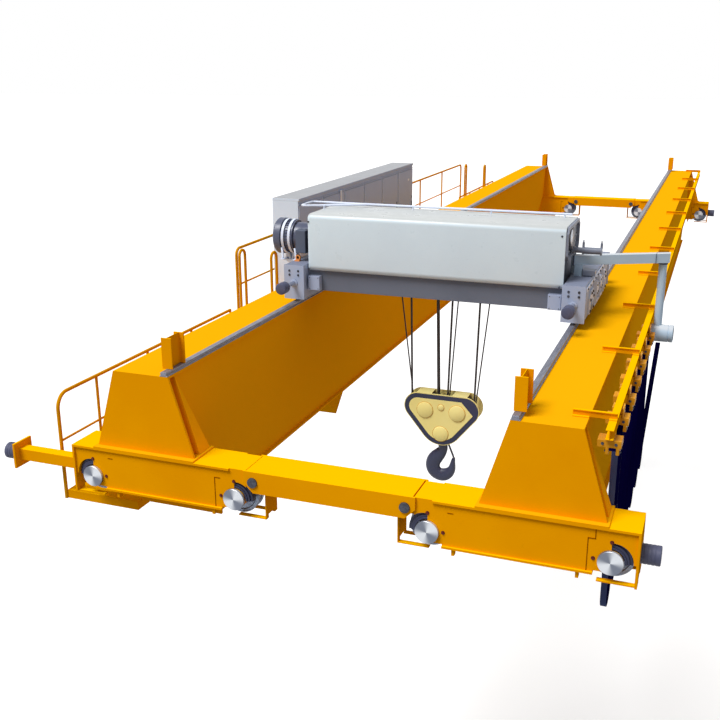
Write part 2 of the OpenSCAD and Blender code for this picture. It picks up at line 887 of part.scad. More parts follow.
// Inverted tees: a foot on the girder's top flange and an upright plate out over the track.
module festoon_brackets() {
  tip = track_x + track_w / 2;
  color(PAINT) for (i = [0:festoon_brackets_n - 1])
    translate([0, -girder_end + 280 + i * bracket_pitch, girder_top]) {
      span_box(
        [festoon_bracket_in, -festoon_bracket_w / 2, 0],
        [girder_out, festoon_bracket_w / 2, festoon_bracket_t]
      );
      span_box(
        [festoon_bracket_in, -festoon_bracket_t / 2, 0],
        [tip, festoon_bracket_t / 2, festoon_bracket_h]
      );
      span_box(
        [festoon_bracket_in, -festoon_bracket_w / 4, festoon_bracket_h - festoon_bracket_t],
        [tip, festoon_bracket_w / 4, festoon_bracket_h]
      );
      span_box(
        [track_x - track_w / 2, -festoon_bracket_w / 2, 0],
        [tip, festoon_bracket_w / 2, festoon_bracket_t]
      );
    }
}

// A carrier: two cheeks with four rollers on the track's lower flange, and the cable clamp.
module cable_carrier(y) {
  color(CLIP) translate([track_x, y, 0]) {
    for (side = [-1, 1]) {
      span_box(
        [side > 0 ? cheek_in : -cheek_out, -cheek_half, carrier_top - 1],
        [side > 0 ? cheek_out : -cheek_in, cheek_half, cheek_top]
      );
      for (ry = [-roller_y, roller_y])
        rod_x(side > 0 ? roller_in : -cheek_out, side > 0 ? cheek_out : -roller_in, ry, roller_z, roller_r);
    }
    cable_saddle();
  }
}

// The clamp over the cable pack: a block with a tab down each side of the cables.
module cable_saddle() {
  half = carrier_len / 2;
  grip = cable_w / 2 + 1;
  span_box([-carrier_w / 2, -half, cable_z], [carrier_w / 2, half, carrier_top]);
  for (side = [-1, 1])
    translate([cable_shift + side * (grip + clamp_tab / 2), 0, 0])
      span_box([-clamp_tab / 2, -half, cable_under - clamp_lip], [clamp_tab / 2, half, cable_z]);
}

module festoon_end_clamp() {
  color(CLIP) translate([track_x, festoon_start, 0]) {
    cable_saddle();
    span_box([-track_w / 2, -carrier_len / 2, carrier_top - 1], [track_w / 2, carrier_len / 2, track_z]);
  }
}

// Flat cable pack in one run: level through every carrier, with a loop between each pair.
// The first loop starts past the bridge carriage, so it hangs clear of it.
module festoon_cables() {
  half = carrier_len / 2;
  color(CABLE) pull_x(cable_x - cable_w / 2, cable_x + cable_w / 2)
    for (i = [0:loops - 1]) {
      y0 = festoon_start + i * loop_pitch;
      y1 = y0 + loop_pitch;
      near_leg = i == 0 ? max(y0 + half, -carriage_in + 20) : y0 + half;
      far_leg = y1 - half;
      leg = (far_leg - near_leg) / 2;
      low = loop_bottom + (loop_pitch - carrier_len) / 2;
      far_top = i == loops - 1 ? clamp_z - clamp_r : cable_z;
      translate([y0 - half, cable_under]) square([near_leg - y0 + half + cable_t, cable_t]);
      translate([near_leg, low]) square([cable_t, cable_z - low]);
      translate([far_leg - cable_t, low]) square([cable_t, far_top - low]);
      translate([far_leg - cable_t, far_top - cable_t]) square([half + cable_t, cable_t]);
      translate([near_leg + leg, low])
        difference() {
          circle(leg);
          circle(leg - cable_t);
          translate([-leg - 1, 0]) square([2 * leg + 2, leg + 1]);
        }
    }
}

// One trolley carriage over the rail on the +X side, with its wheel pockets and axle bores.
module trolley_carriage() {
  half = tc_w / 2;
  difference() {
    union() {
      span_box([tc_x - half, trolley_near, tc_bottom], [tc_x + half, trolley_far, tc_top]);
      for (y = [trolley_near, trolley_far - tc_plate_t])
        span_box(
          [tc_x - half - tc_plate_lip, y, tc_bottom - tc_plate_lip],
          [tc_x + half + tc_plate_lip, y + tc_plate_t, tc_top]
        );
    }
    for (y = [trolley_y - tw_y, trolley_y + tw_y]) {
      span_box(
        [tc_x - tw_pocket, y - tw_r - tw_flange - 10, tc_bottom - 1],
        [tc_x + tw_pocket, y + tw_r + tw_flange + 10, tw_z + tw_r + tw_flange + 10]
      );
      rod_x(tc_x - half - 1, tc_x + half + 1, y, tw_z, tw_axle_r + fit);
    }
  }
}

module trolley_carriages() {
  color(COVER) both_sides() trolley_carriage();
}

module cross_beam(y, w) {
  span_box([-tc_inner, y, beam_z], [tc_inner, y + w, beam_z + beam_h]);
}

module cross_beams() {
  color(DARK) {
    cross_beam(near_beam_y, beam_w);
    cross_beam(sheave_beam_y, sheave_beam_w);
    cross_beam(far_beam_y, beam_w);
  }
}

module trolley_buffers() {
  color(RUBBER) both_sides() {
    rod_y(tc_x, trolley_near - tb_rod, trolley_near, tb_z, tb_r / 3);
    rod_y(tc_x, trolley_near - tb_rod - tb_len, trolley_near - tb_rod, tb_z, tb_r);
    rod_y(tc_x, trolley_far, trolley_far + tb_rod, tb_z, tb_r / 3);
    rod_y(tc_x, trolley_far + tb_rod, trolley_far + tb_rod + tb_len, tb_z, tb_r);
  }
}

// A trolley wheel with its axle along X.
module trolley_wheel(side, y) {
  reach = tc_w / 2 + cap_gap + tw_cap_t;
  color(STEEL) translate([side * tc_x, y, tw_z]) rotate([0, 90, 0]) {
    cylinder(h = reach * 2, r = tw_axle_r, center = true);
    cylinder(h = tw_tread, r = tw_r, center = true);
    for (s = [-1, 1]) {
      translate([0, 0, s * (tw_tread + tw_flange_t) / 2])
        cylinder(h = tw_flange_t, r = tw_r + tw_flange, center = true);
      translate([0, 0, s * (reach - tw_cap_t / 2)])
        cylinder(h = tw_cap_t, r = tw_axle_r * 1.8, center = true);
    }
  }
}

module drum_brackets() {
  color(DARK) both_sides() difference() {
    span_box(
      [drum_plate_x, near_beam_y, beam_z + beam_h],
      [drum_plate_x + drum_plate_t, drum_y + drum_r + 60, cover_z + cover_h - cover_t]
    );
    rod_x(drum_plate_x - 1, drum_plate_x + drum_plate_t + 1, drum_y, drum_z, shaft_r + fit);
  }
}

module rope_drum() {
  color(DARK) {
    rod_x(-drum_half, drum_half, drum_y, drum_z, drum_r);
    rod_x(-drum_plate_x - drum_plate_t, drum_plate_x + drum_plate_t, drum_y, drum_z, shaft_r);
  }
}

// A shallow casing with cut-off corners that closes the drum's +X end.
module gear_unit() {
  y0 = cover_y + 10;
  y1 = cover_y + cover_d - 10;
  z0 = drum_z - 25;
  z1 = cover_z + cover_h - 10;
  color(DARK) pull_x(drum_plate_x + drum_plate_t, gear_x) polygon([
    [y0 + gear_cut, z0],
    [y1 - gear_cut, z0],
    [y1, z0 + gear_cut],
    [y1, z1 - gear_cut],
    [y1 - gear_cut, z1],
    [y0 + gear_cut, z1],
    [y0, z1 - gear_cut],
    [y0, z0 + gear_cut]
  ]);
}

module limit_switch() {
  color(COVER) {
    rod_x(gear_x, gear_x + switch_len, drum_y, switch_z, switch_r);
    for (x = [gear_x, gear_x + 95, gear_x + switch_len - 15])
      rod_x(x, x + 15, drum_y, switch_z, switch_r + 8);
  }
}

module hoist_motor() {
  x1 = -drum_plate_x - drum_plate_t;
  color(STEEL) {
    rod_x(-motor_x, x1, drum_y, drum_z, neck_r);
    rod_x(-motor_x - motor_len, -motor_x, drum_y, drum_z, motor_r);
    rod_x(-motor_x - motor_len - cowl_len, -motor_x - motor_len, drum_y, drum_z, cowl_r);
  }
}

// Two straps around the motor, on splayed feet that stand on a bracket beside the carriage.
module motor_straps() {
  side_x = -tc_x - tc_w / 2;
  end_x = -motor_x - 40 - strap_pitch - 40;
  foot_z = strap_z + 15;
  ring_z = drum_z - motor_r;
  color(COVER) {
    difference() {
      for (x = [-motor_x - 40, -motor_x - 40 - strap_pitch])
        translate([x, 0, 0]) {
          rod_x(-strap_w / 2, strap_w / 2, drum_y, drum_z, motor_r + strap_t);
          pull_y(drum_y - 40, drum_y + 40) polygon([
            [-strap_w / 2, ring_z + 8],
            [strap_w / 2, ring_z + 8],
            [strap_w / 2 + 23, foot_z],
            [strap_w / 2 + 5, foot_z],
            [0, ring_z - 40],
            [-strap_w / 2 - 5, foot_z],
            [-strap_w / 2 - 23, foot_z]
          ]);
        }
      rod_x(-motor_x - motor_len, -motor_x, drum_y, drum_z, motor_r);
    }
    span_box([end_x, drum_y - 60, strap_z], [side_x, drum_y + 60, foot_z]);
    for (y = [-60, 48])
      pull_y(drum_y + y, drum_y + y + 12) polygon([
        [side_x, strap_z],
        [side_x, strap_z - 120],
        [end_x + 20, strap_z]
      ]);
  }
}

module junction_boxes() {
  front = near_beam_y - 70;
  color(COVER) {
    both_sides() span_box([tc_inner - 165, front, beam_z + 10], [tc_inner - 25, near_beam_y, beam_z + 175]);
    span_box(
      [-motor_x + 80, drum_y - neck_r - 95, drum_z - 145],
      [-motor_x + 205, drum_y - neck_r, drum_z + 115]
    );
  }
}

// Folded sheet cover over the drum, open below and at its ends.
module hoist_cover() {
  color(COVER) pull_x(-cover_half, cover_half) difference() {
    cover_outline(0);
    cover_outline(cover_t);
    translate([cover_y + cover_t, cover_z - 1]) square([cover_d, cover_round + 1]);
  }
}

module cover_outline(inset) {
  r = cover_round - inset;
  translate([cover_y + cover_round, cover_z + cover_round])
    offset(r) square([cover_d - 2 * cover_round, cover_h - 2 * cover_round]);
}

// Arm on the trolley that pulls the festoon: post, slanting box arm and drop tube.
module tow_arm() {
  root_x = gear_x + 10;
  root_y = arm_y - arm_back;
  color(COVER) {
    span_box([root_x + 10, root_y - 45, tc_top], [root_x + 90, root_y + 55, arm_z + 10]);
    translate([0, 0, arm_z]) linear_extrude(tow_h) polygon([
      [root_x, root_y - tow_w / 2],
      [arm_tip, arm_y - tow_w / 2 + 10],
      [arm_tip, arm_y + tow_w / 2 - 10],
      [root_x, root_y + tow_w / 2]
    ]);
    difference() {
      rod_z(drop_x, arm_y, clamp_z + clamp_r / 2, arm_z + 10, drop_r);
      rod_x(drop_x - clamp_in - 10, drop_x + clamp_out + 10, arm_y, clamp_z, clamp_r + fit);
    }
  }
}

module tow_clamp() {
  color(CLIP) rod_x(drop_x - clamp_in, drop_x + clamp_out, arm_y, clamp_z, clamp_r);
}

// A straight rope from a low point to a high point.
module rope(low, high, r = rope_r) {
  d = high - low;
  len = norm(d);
  translate(low)
    rotate([0, acos(d[2] / len), atan2(d[1], d[0])])
      cylinder(h = len, r = r);
}

module hoist_ropes() {
  outer = sheave_x + sheave_r;
  inner = sheave_x - sheave_r;
  drum_low = drum_z - 10;
  color(DARK) translate([hook_x, 0, 0]) {
    both_sides() {
      rope([outer, hook_y - rope_plane, sheave_z], [outer + 30, hook_y - rope_plane, drum_low]);
      rope([inner, hook_y - rope_plane, sheave_z], [inner + 30, hook_y - rope_plane, drum_low]);
    }
    for (fall = [[-outer, -160], [-inner, 0], [inner, 80], [outer, 110]])
      rope(
        [fall[0], hook_y + rope_plane, sheave_z],
        [fall[0] + fall[1], hook_y + rope_plane, beam_z - rope_seat],
        rope_r - 3
      );
  }
}

module block_outline() {
  hull() {
    for (side = [-1, 1]) translate([side * plate_corner_x, sheave_z]) circle(plate_corner_r);
    translate([0, sheave_z - crosshead_drop - 120 + plate_foot_r]) circle(plate_foot_r);
  }
}

// Two plates, the crosshead between them and the sheave pins' bosses.
module block_plates() {
  half = block_gap / 2;
  head_z = sheave_z - crosshead_drop;
  color(PAINT) translate([hook_x, hook_y, 0]) difference() {
    union() {
      pull_y(-half - plate_t, -half) block_outline();
      pull_y(half, half + plate_t) block_outline();
      span_box([-70, -half - 1, head_z - 50], [70, half + 1, head_z + 50]);
      for (side = [-1, 1])
        translate([side * sheave_x, 0, 0]) span_box(
          [-block_guard_w / 2, -half - 1, sheave_z + sheave_r + 2],
          [block_guard_w / 2, half + 1, sheave_z + plate_corner_r]
        );
    }
    rod_z(0, 0, head_z - 60, head_z + 60, shank_r + fit);
    for (side = [-1, 1])
      rod_y(side * sheave_x, -half - plate_t - 1, half + plate_t + 1, sheave_z, sheave_axle_r + fit);
  }
}

// A grooved sheave on each side for each rope plane, on one axle a side.
module block_sheaves() {
  half = block_gap / 2 + plate_t + 12;
  color(DARK) translate([hook_x, hook_y, 0]) both_sides() {
    rod_y(sheave_x, -half, half, sheave_z, sheave_axle_r);
    for (y = [-rope_plane, rope_plane])
      translate([sheave_x, y, sheave_z]) rotate([90, 0, 0]) rotate_extrude() sheave_profile();
  }
}

module sheave_profile() {
  difference() {
    translate([0, -sheave_w / 2]) square([sheave_r, sheave_w]);
    translate([sheave_r, 0]) circle(rope_r + rope_gap);
  }
}

// The hook: nut and shank in the crosshead, and a flat forged bowl below.
module hook() {
  head_z = sheave_z - crosshead_drop;
  color(DARK) translate([hook_x, hook_y, 0]) {
    rod_z(0, 0, head_z + 52, head_z + 90, shank_r + 20);
    rod_z(0, 0, hook_top - 10, head_z + 60, shank_r);
    rod_z(0, 0, hook_top - 10, head_z - 52, shank_r + 14);
    pull_y(-hook_t / 2, hook_t / 2) hook_outline();
  }
}

module hook_outline() {
  translate([0, bowl_z]) difference() {
    union() {
      translate([-0.11 * bowl_r, 0]) circle(bowl_r);
      polygon([
        [-neck_half, hook_top - bowl_z],
        [neck_half, hook_top - bowl_z],
        [0.36 * bowl_r, 1.06 * bowl_r],
        [-0.1 * bowl_r, 0.1 * bowl_r],
        [-1.05 * bowl_r, 0.3 * bowl_r],
        [-0.84 * bowl_r, 0.78 * bowl_r]
      ]);
      polygon([
        [0.4 * bowl_r, -0.1 * bowl_r],
        [0.88 * bowl_r, -0.1 * bowl_r],
        [0.87 * bowl_r, 0.7 * bowl_r],
        [0.76 * bowl_r, 0.79 * bowl_r],
        [0.6 * bowl_r, 0.62 * bowl_r]
      ]);
    }
    translate([0.08 * bowl_r, 0.16 * bowl_r]) circle(throat_r);
    polygon([
      [-0.21 * bowl_r, 0.2 * bowl_r],
      [0.36 * bowl_r, 1.06 * bowl_r],
      [0.66 * bowl_r, 1.06 * bowl_r],
      [0.6 * bowl_r, 0.62 * bowl_r],
      [0.36 * bowl_r, 0.08 * bowl_r]
    ]);
  }
}

// Safety latch across the hook's mouth.
module hook_latch() {
  color(STEEL) translate([hook_x, hook_y, 0])
    pull_y(-latch_w / 2, latch_w / 2) polygon([
      [neck_half + 0.5, hook_top],
      [neck_half + 0.5 + latch_t, hook_top],
      [0.72 * bowl_r + latch_t, bowl_z + 0.85 * bowl_r],
      [0.72 * bowl_r, bowl_z + 0.85 * bowl_r]
    ]);
}

wheel_xs = [-wheel_far, -wheel_near, wheel_near, wheel_far];

girder_left();
girder_right();
trolley_rails();
end_stops();
carriages_near();
carriages_far();
link_beams();
link_pins();
wheel_guards();
buffer_arms();
bridge_buffers();
for (i = [0:3]) {
  wheel(wheel_xs[i], -rail_line);
  wheel(wheel_xs[i], rail_line);
}
walkway_floor();
walkway_brackets();
walkway_handrail();
platforms();
platform_beams();
platform_handrails();
ladders();
control_cabinets();
festoon_track();
festoon_brackets();
festoon_end_clamp();
for (i = [1:loops - 1])
  cable_carrier(festoon_start + i * loop_pitch);
festoon_cables();
trolley_carriages();
cross_beams();
trolley_buffers();
trolley_wheel(-1, trolley_y - tw_y);  // trolley_wheel_1
trolley_wheel(1, trolley_y - tw_y);  // trolley_wheel_2
trolley_wheel(-1, trolley_y + tw_y);  // trolley_wheel_3
trolley_wheel(1, trolley_y + tw_y);  // trolley_wheel_4
drum_brackets();
rope_drum();
gear_unit();
limit_switch();
hoist_motor();
motor_straps();
junction_boxes();
hoist_cover();
tow_arm();
tow_clamp();
hoist_ropes();
block_plates();
block_sheaves();
hook();
hook_latch();
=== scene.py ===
"""Looks of a double girder overhead crane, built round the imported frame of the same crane.

Every length is in metres. +X runs along the runway, +Y along the span, +Z up, with Z = 0 at the
top of the runway rails. Each group of pieces has its own function, called in order at the end.
"""
import json
import math

import bmesh
import bpy
from mathutils import Matrix, Vector


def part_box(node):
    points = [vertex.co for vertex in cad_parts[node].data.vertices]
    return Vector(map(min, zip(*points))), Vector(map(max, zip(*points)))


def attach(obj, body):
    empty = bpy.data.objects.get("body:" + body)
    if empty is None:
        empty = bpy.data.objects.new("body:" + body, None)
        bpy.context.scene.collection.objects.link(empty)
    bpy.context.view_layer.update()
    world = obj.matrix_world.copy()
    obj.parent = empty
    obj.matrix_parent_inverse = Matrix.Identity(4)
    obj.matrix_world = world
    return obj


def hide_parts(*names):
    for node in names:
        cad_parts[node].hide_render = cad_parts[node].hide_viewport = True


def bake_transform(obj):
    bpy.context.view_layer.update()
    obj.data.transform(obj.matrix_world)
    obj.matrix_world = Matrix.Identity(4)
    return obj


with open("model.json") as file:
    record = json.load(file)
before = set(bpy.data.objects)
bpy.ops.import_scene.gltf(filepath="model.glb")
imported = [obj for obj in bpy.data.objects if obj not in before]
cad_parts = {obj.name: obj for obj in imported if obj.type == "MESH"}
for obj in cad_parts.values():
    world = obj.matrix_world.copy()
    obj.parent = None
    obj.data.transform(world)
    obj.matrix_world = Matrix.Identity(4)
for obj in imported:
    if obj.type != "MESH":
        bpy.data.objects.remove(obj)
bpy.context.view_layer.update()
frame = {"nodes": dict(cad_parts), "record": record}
nodes = frame["nodes"]
body_of = {node: body for body, members in frame["record"]["behaviour"]["bodies"].items() for node in members}
X, Y, Z = Vector((1, 0, 0)), Vector((0, 1, 0)), Vector((0, 0, 1))

# Measures that more than one group of pieces uses.
RUNWAY_WHEELS = sorted(node for node in nodes if node.startswith(("wheel_near", "wheel_far")))
RUNWAY_Y = 9.25  # the runway's rails, near and far
CARRIAGE_HALF = 0.17  # half the runway carriages' width
TROLLEY_X = 1.55  # the trolley's rails
TROLLEY_NEAR, TROLLEY_FAR = -6.61, -4.63  # the faces of the trolley's end plates
TROLLEY_AXLES = (-6.135, -5.105)
BUFFER_Z = 1.4575  # the trolley's buffers
DRUM_Y, DRUM_Z = -6.131, 1.895  # the axis of the drum and its motor
CABLE_X, CABLE_TOP = 2.275, 1.045  # the middle and the top of the festoon's cable pack
FESTOON_START, FESTOON_END = -9.23, -5.62  # the bridge's end clamp and the trolley's clamp
LOOPS = 7
CLAMP_PITCH = (FESTOON_END - FESTOON_START) / LOOPS
HOOK_X, HOOK_Y, SHEAVE_Z = 0.02, -5.89, -0.065  # the hook's axis, and the block's outer sheaves


def box_of(node):
    """Lowest and highest corner of a CAD node."""
    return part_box(node)


def middle(node):
    """The middle of a CAD node's box."""
    low, high = box_of(node)
    return (low + high) / 2


# -------- materials

class Nodes:
    """A node tree under construction, with short calls for the nodes it uses."""

    def __init__(self, tree):
        self.tree = tree

    def feed(self, socket, value):
        """Sets a socket to a plain value, or links it to the output of a node."""
        if isinstance(value, bpy.types.NodeSocket):
            self.tree.links.new(value, socket)
        else:
            socket.default_value = value

    def add(self, kind, inputs=None, **settings):
        """A new node. Its inputs are given by name or number."""
        node = self.tree.nodes.new(kind)
        for name, value in settings.items():
            setattr(node, name, value)
        for name, value in (inputs or {}).items():
            self.feed(node.inputs[name], value)
        return node

    def between(self, value, low, high, to_low=0.0, to_high=1.0):
        """A value carried smoothly from one range to another, and held at its ends."""
        inputs = {"Value": value, "From Min": low, "From Max": high, "To Min": to_low, "To Max": to_high}
        return self.add("ShaderNodeMapRange", inputs, interpolation_type="SMOOTHSTEP").outputs["Result"]

    def math(self, operation, first, second=0.0):
        return self.add("ShaderNodeMath", {0: first, 1: second}, operation=operation).outputs["Value"]

    def looked_at(self):
        """1 for the rays that show a backdrop, straight on or in metal and glass, and 0 for the rest."""
        rays = self.add("ShaderNodeLightPath").outputs
        mirrored_rays = self.math("MAXIMUM", rays["Is Glossy Ray"], rays["Is Transmission Ray"])
        return self.math("MAXIMUM", rays["Is Camera Ray"], mirrored_rays)


class Finish(Nodes):
    """A material under construction."""

    def __init__(self, name):
        self.material = bpy.data.materials.new(name)
        self.material.use_nodes = True
        super().__init__(self.material.node_tree)
        self.shader = self.tree.nodes["Principled BSDF"]
        self.coordinates = self.add("ShaderNodeTexCoord").outputs["Object"]

    def noise(self, scale, detail=4, roughness=0.55, stretch=(1, 1, 1)):
        mapping = self.add("ShaderNodeMapping", {"Vector": self.coordinates, "Scale": stretch})
        inputs = {"Vector": mapping.outputs["Vector"], "Scale": scale, "Detail": detail, "Roughness": roughness}
        return self.add("ShaderNodeTexNoise", inputs).outputs["Fac"]

    def mix(self, factor, first, second):
        """A mix of two colours, which are inputs 6 and 7 of the node and its output 2."""
        return self.add("ShaderNodeMix", {"Factor": factor, 6: first, 7: second}, data_type="RGBA").outputs[2]

    def bump(self, height, distance):
        return self.add("ShaderNodeBump", {"Height": height, "Distance": distance}).outputs["Normal"]

    def use(self, **values):
        """Feeds the shader's sockets."""
        for name, value in values.items():
            self.feed(self.shader.inputs[name.replace("_", " ")], value)


def linear(red, green, blue):
    """A colour given as 0 to 255 display values, as the linear values that shaders take."""
    def one(value):
        value /= 255
        return value / 12.92 if value <= 0.04045 else ((value + 0.055) / 1.055) ** 2.4
    return (one(red), one(green), one(blue), 1.0)


def painted(name, colour, aged, roughness, gloss, grain=220, orange_peel=0.00012, top=None, flank_painted_shading=None):
    """Sprayed paint on steel: two near colours in broad clouds, faint dust specks and orange peel.

    top and flank are painted light and shade: faces that look up take the top colour, and faces turned along
    the runway take the flank colour, lighter or darker by the way they face.
    """
    n = Finish(name)
    clouds = n.between(n.noise(0.9, 5, 0.6), 0.35, 0.7)
    specks, speck_shade = n.between(n.noise(34, 3, 0.7), 0.62, 0.8, 0.0, 0.35), 0.86
    tone = n.mix(clouds, linear(*colour), linear(*aged))
    tone = n.mix(specks, tone, linear(*[speck_shade * c for c in aged]))
    if top or flank_painted_shading:
        facing = n.add("ShaderNodeSeparateXYZ", {0: n.add("ShaderNodeNewGeometry").outputs["Normal"]}).outputs
    # painted light and shade: faces turned along the runway take the flank colour
    if flank_painted_shading:
        along = n.between(n.math("ABSOLUTE", facing["X"]), 0.3, 0.8)
        tone = n.mix(along, tone, linear(*flank_painted_shading))
    # painted light and shade: faces that look up take the top colour
    if top:
        tone = n.mix(n.between(facing["Z"], 0.35, 0.8), tone, linear(*top))
    n.use(Base_Color=tone, Normal=n.bump(n.noise(grain, 2, 0.5), orange_peel),
          Roughness=n.between(n.noise(6), 0.3, 0.75, roughness - 0.05, roughness + 0.1),
          Specular_IOR_Level=gloss)
    return n.material


def bare_metal(name, colour, dark, roughness, metallic, stretch=(1, 1, 1), scale=40, relief=0.00015):
    """Bare or zinc-plated steel, with streaks in the direction where stretch is smallest."""
    n = Finish(name)
    streaks = n.noise(scale, 6, 0.65, stretch)
    n.use(Base_Color=n.mix(n.between(streaks, 0.3, 0.72), linear(*dark), linear(*colour)),
          Roughness=n.between(n.noise(9, 5), 0.3, 0.7, roughness - 0.08, roughness + 0.14),
          Normal=n.bump(streaks, relief), Metallic=metallic)
    return n.material


def rubber(name, colour, dusty):
    """Moulded rubber: matt, finely grained and a little dusty."""
    n = Finish(name)
    dust = n.between(n.noise(12, 5, 0.65), 0.45, 0.8)
    n.use(Base_Color=n.mix(dust, linear(*colour), linear(*dusty)),
          Roughness=n.between(n.noise(25), 0.3, 0.7, 0.52, 0.72),
          Normal=n.bump(n.noise(160, 3), 0.0003))
    return n.material


def machined(name, shade, shine):
    """A turned steel face: light and dark sectors round its middle, a painted reflection fixed to the face, and
    fine rings left by the tool.
    """
    n = Finish(name)
    parts = n.add("ShaderNodeSeparateXYZ", {0: n.coordinates}).outputs
    x, z = parts["X"], parts["Z"]
    angle = n.math("ARCTAN2", z, x)
    # the light and dark sectors are a painted reflection of turned steel, fixed to the face
    reflection_wedges, groove_rate = 2.0, 2600.0
    reflection_wedge = n.between(n.math("SINE", n.math("MULTIPLY", angle, reflection_wedges)), -0.9, 0.9)
    square = n.math("ADD", n.math("MULTIPLY", x, x), n.math("MULTIPLY", z, z))
    rings = n.math("SINE", n.math("MULTIPLY", n.math("SQRT", square), groove_rate))
    n.use(Base_Color=n.mix(reflection_wedge, linear(*shade), linear(*shine)), Normal=n.bump(rings, 0.00004),
          Metallic=0.55, Roughness=0.38)
    return n.material


# The top and flank colours below are painted light and shade, given to faces by the way they face.
YELLOW = painted("crane_yellow", (240, 160, 0), (234, 152, 0), 0.6, 0.0, top=(250, 186, 0))
GIRDER = painted("girder_yellow", (240, 160, 0), (234, 152, 0), 0.6, 0.0,
                 top=(238, 170, 8), flank_painted_shading=(255, 175, 10))
SEAM = painted("seam_yellow", (150, 80, 0), (134, 70, 0), 0.6, 0.0)
HANDRAIL = painted("handrail_yellow", (214, 150, 14), (206, 142, 10), 0.6, 0.0)
COVER = painted("cover_grey", (214, 229, 238), (208, 223, 233), 0.32, 0.5, orange_peel=0.00002,
                top=(190, 194, 194))
TROLLEY = painted("trolley_grey", (172, 184, 210), (160, 172, 198), 0.5, 0.15, top=(126, 133, 154))
ARM = painted("arm_grey", (184, 205, 224), (176, 197, 216), 0.45, 0.15, top=(198, 205, 212))
WHITE = painted("strap_white", (222, 230, 248), (214, 222, 240), 0.45, 0.2)
SLATE = painted("slate_grey", (90, 98, 116), (80, 88, 106), 0.5, 0.15)
BEAM = painted("beam_grey", (110, 116, 130), (100, 106, 120), 0.5, 0.15)
CABINET = painted("cabinet_grey", (220, 234, 250), (212, 226, 243), 0.55, 0.1,
                  top=(166, 168, 172), flank_painted_shading=(172, 188, 222))
LOUVRE = painted("cabinet_dark", (84, 88, 104), (72, 76, 92), 0.55, 0.1)
CREAM = painted("block_cream", (250, 238, 160), (244, 230, 146), 0.45, 0.1)
NAVY = painted("block_navy", (56, 58, 84), (46, 50, 72), 0.4, 0.25)
ORANGE = painted("eye_orange", (230, 150, 84), (214, 132, 66), 0.45, 0.2)
RED = painted("bolt_red", (96, 26, 12), (80, 20, 10), 0.5, 0.3)
MOTOR = painted("motor_grey", (74, 80, 104), (62, 68, 92), 0.35, 0.5)
CASING = painted("casing_grey", (128, 134, 150), (112, 118, 134), 0.4, 0.3)
CABLE = painted("cable_sheath", (9, 5, 64), (7, 4, 56), 0.85, 0.0)
# painted highlight: a lighter blue-grey for the lit side of the first loop's front cable
PAINTED_LIT_CABLE = painted("first_cable_painted_light", (72, 82, 122), (64, 74, 114), 0.7, 0.05)
BRONZE = painted("clamp_bronze", (226, 160, 34), (178, 112, 14), 0.5, 0.1, grain=40)
HOOK = painted("hook_forged", (62, 67, 96), (44, 48, 72), 0.38, 0.4, grain=60, orange_peel=0.0006)
WHEEL = bare_metal("wheel_steel", (140, 152, 170), (96, 106, 124), 0.4, 0.6)
RAIL = bare_metal("rail_steel", (148, 150, 162), (104, 106, 120), 0.45, 0.45, (6, 0.25, 6), 30)
STEEL = bare_metal("bright_steel", (206, 212, 220), (160, 166, 178), 0.34, 0.6)
DARK = bare_metal("dark_steel", (74, 78, 90), (44, 47, 58), 0.42, 0.4)
ROPE = bare_metal("rope_wire", (70, 66, 68), (30, 28, 32), 0.5, 0.4, (1, 1, 0.25), 300, 0.0006)
MACHINED = machined("machined_steel", (112, 118, 132), (214, 218, 224))
RUBBER = rubber("buffer_rubber", (66, 70, 96), (84, 86, 112))

# The material of each CAD node that isn't painted as the bridge is.
NODE_FINISH = {node: material for material, members in {
    GIRDER: ("girder_left", "girder_right"),
    HANDRAIL: ("walkway_handrail", "platform_handrails", "ladders"),
    RAIL: ("trolley_rails",),
    CABINET: ("control_cabinets",),
    CABLE: ("festoon_cables",),
    TROLLEY: ("trolley_carriages", "junction_boxes"),
    BEAM: ("cross_beams",),
    DARK: ("link_pins", "drum_brackets", "rope_drum", "block_sheaves", "hook_latch"),
    CASING: ("gear_unit", "limit_switch"),
    MOTOR: ("hoist_motor",),
    WHITE: ("motor_straps",),
    COVER: ("hoist_cover",),
    ARM: ("tow_arm", "tow_clamp"),
    BRONZE: ("festoon_end_clamp",),
    ROPE: ("hoist_ropes",),
    CREAM: ("block_plates",),
    HOOK: ("hook",),
}.items() for node in members}


def finish_of(node):
    """The material of a CAD node."""
    if node.startswith(("wheel_near", "wheel_far", "trolley_wheel_")):
        return WHEEL
    if node.startswith("cable_carrier"):
        return BRONZE
    return NODE_FINISH.get(node, YELLOW)


# -------- shapes

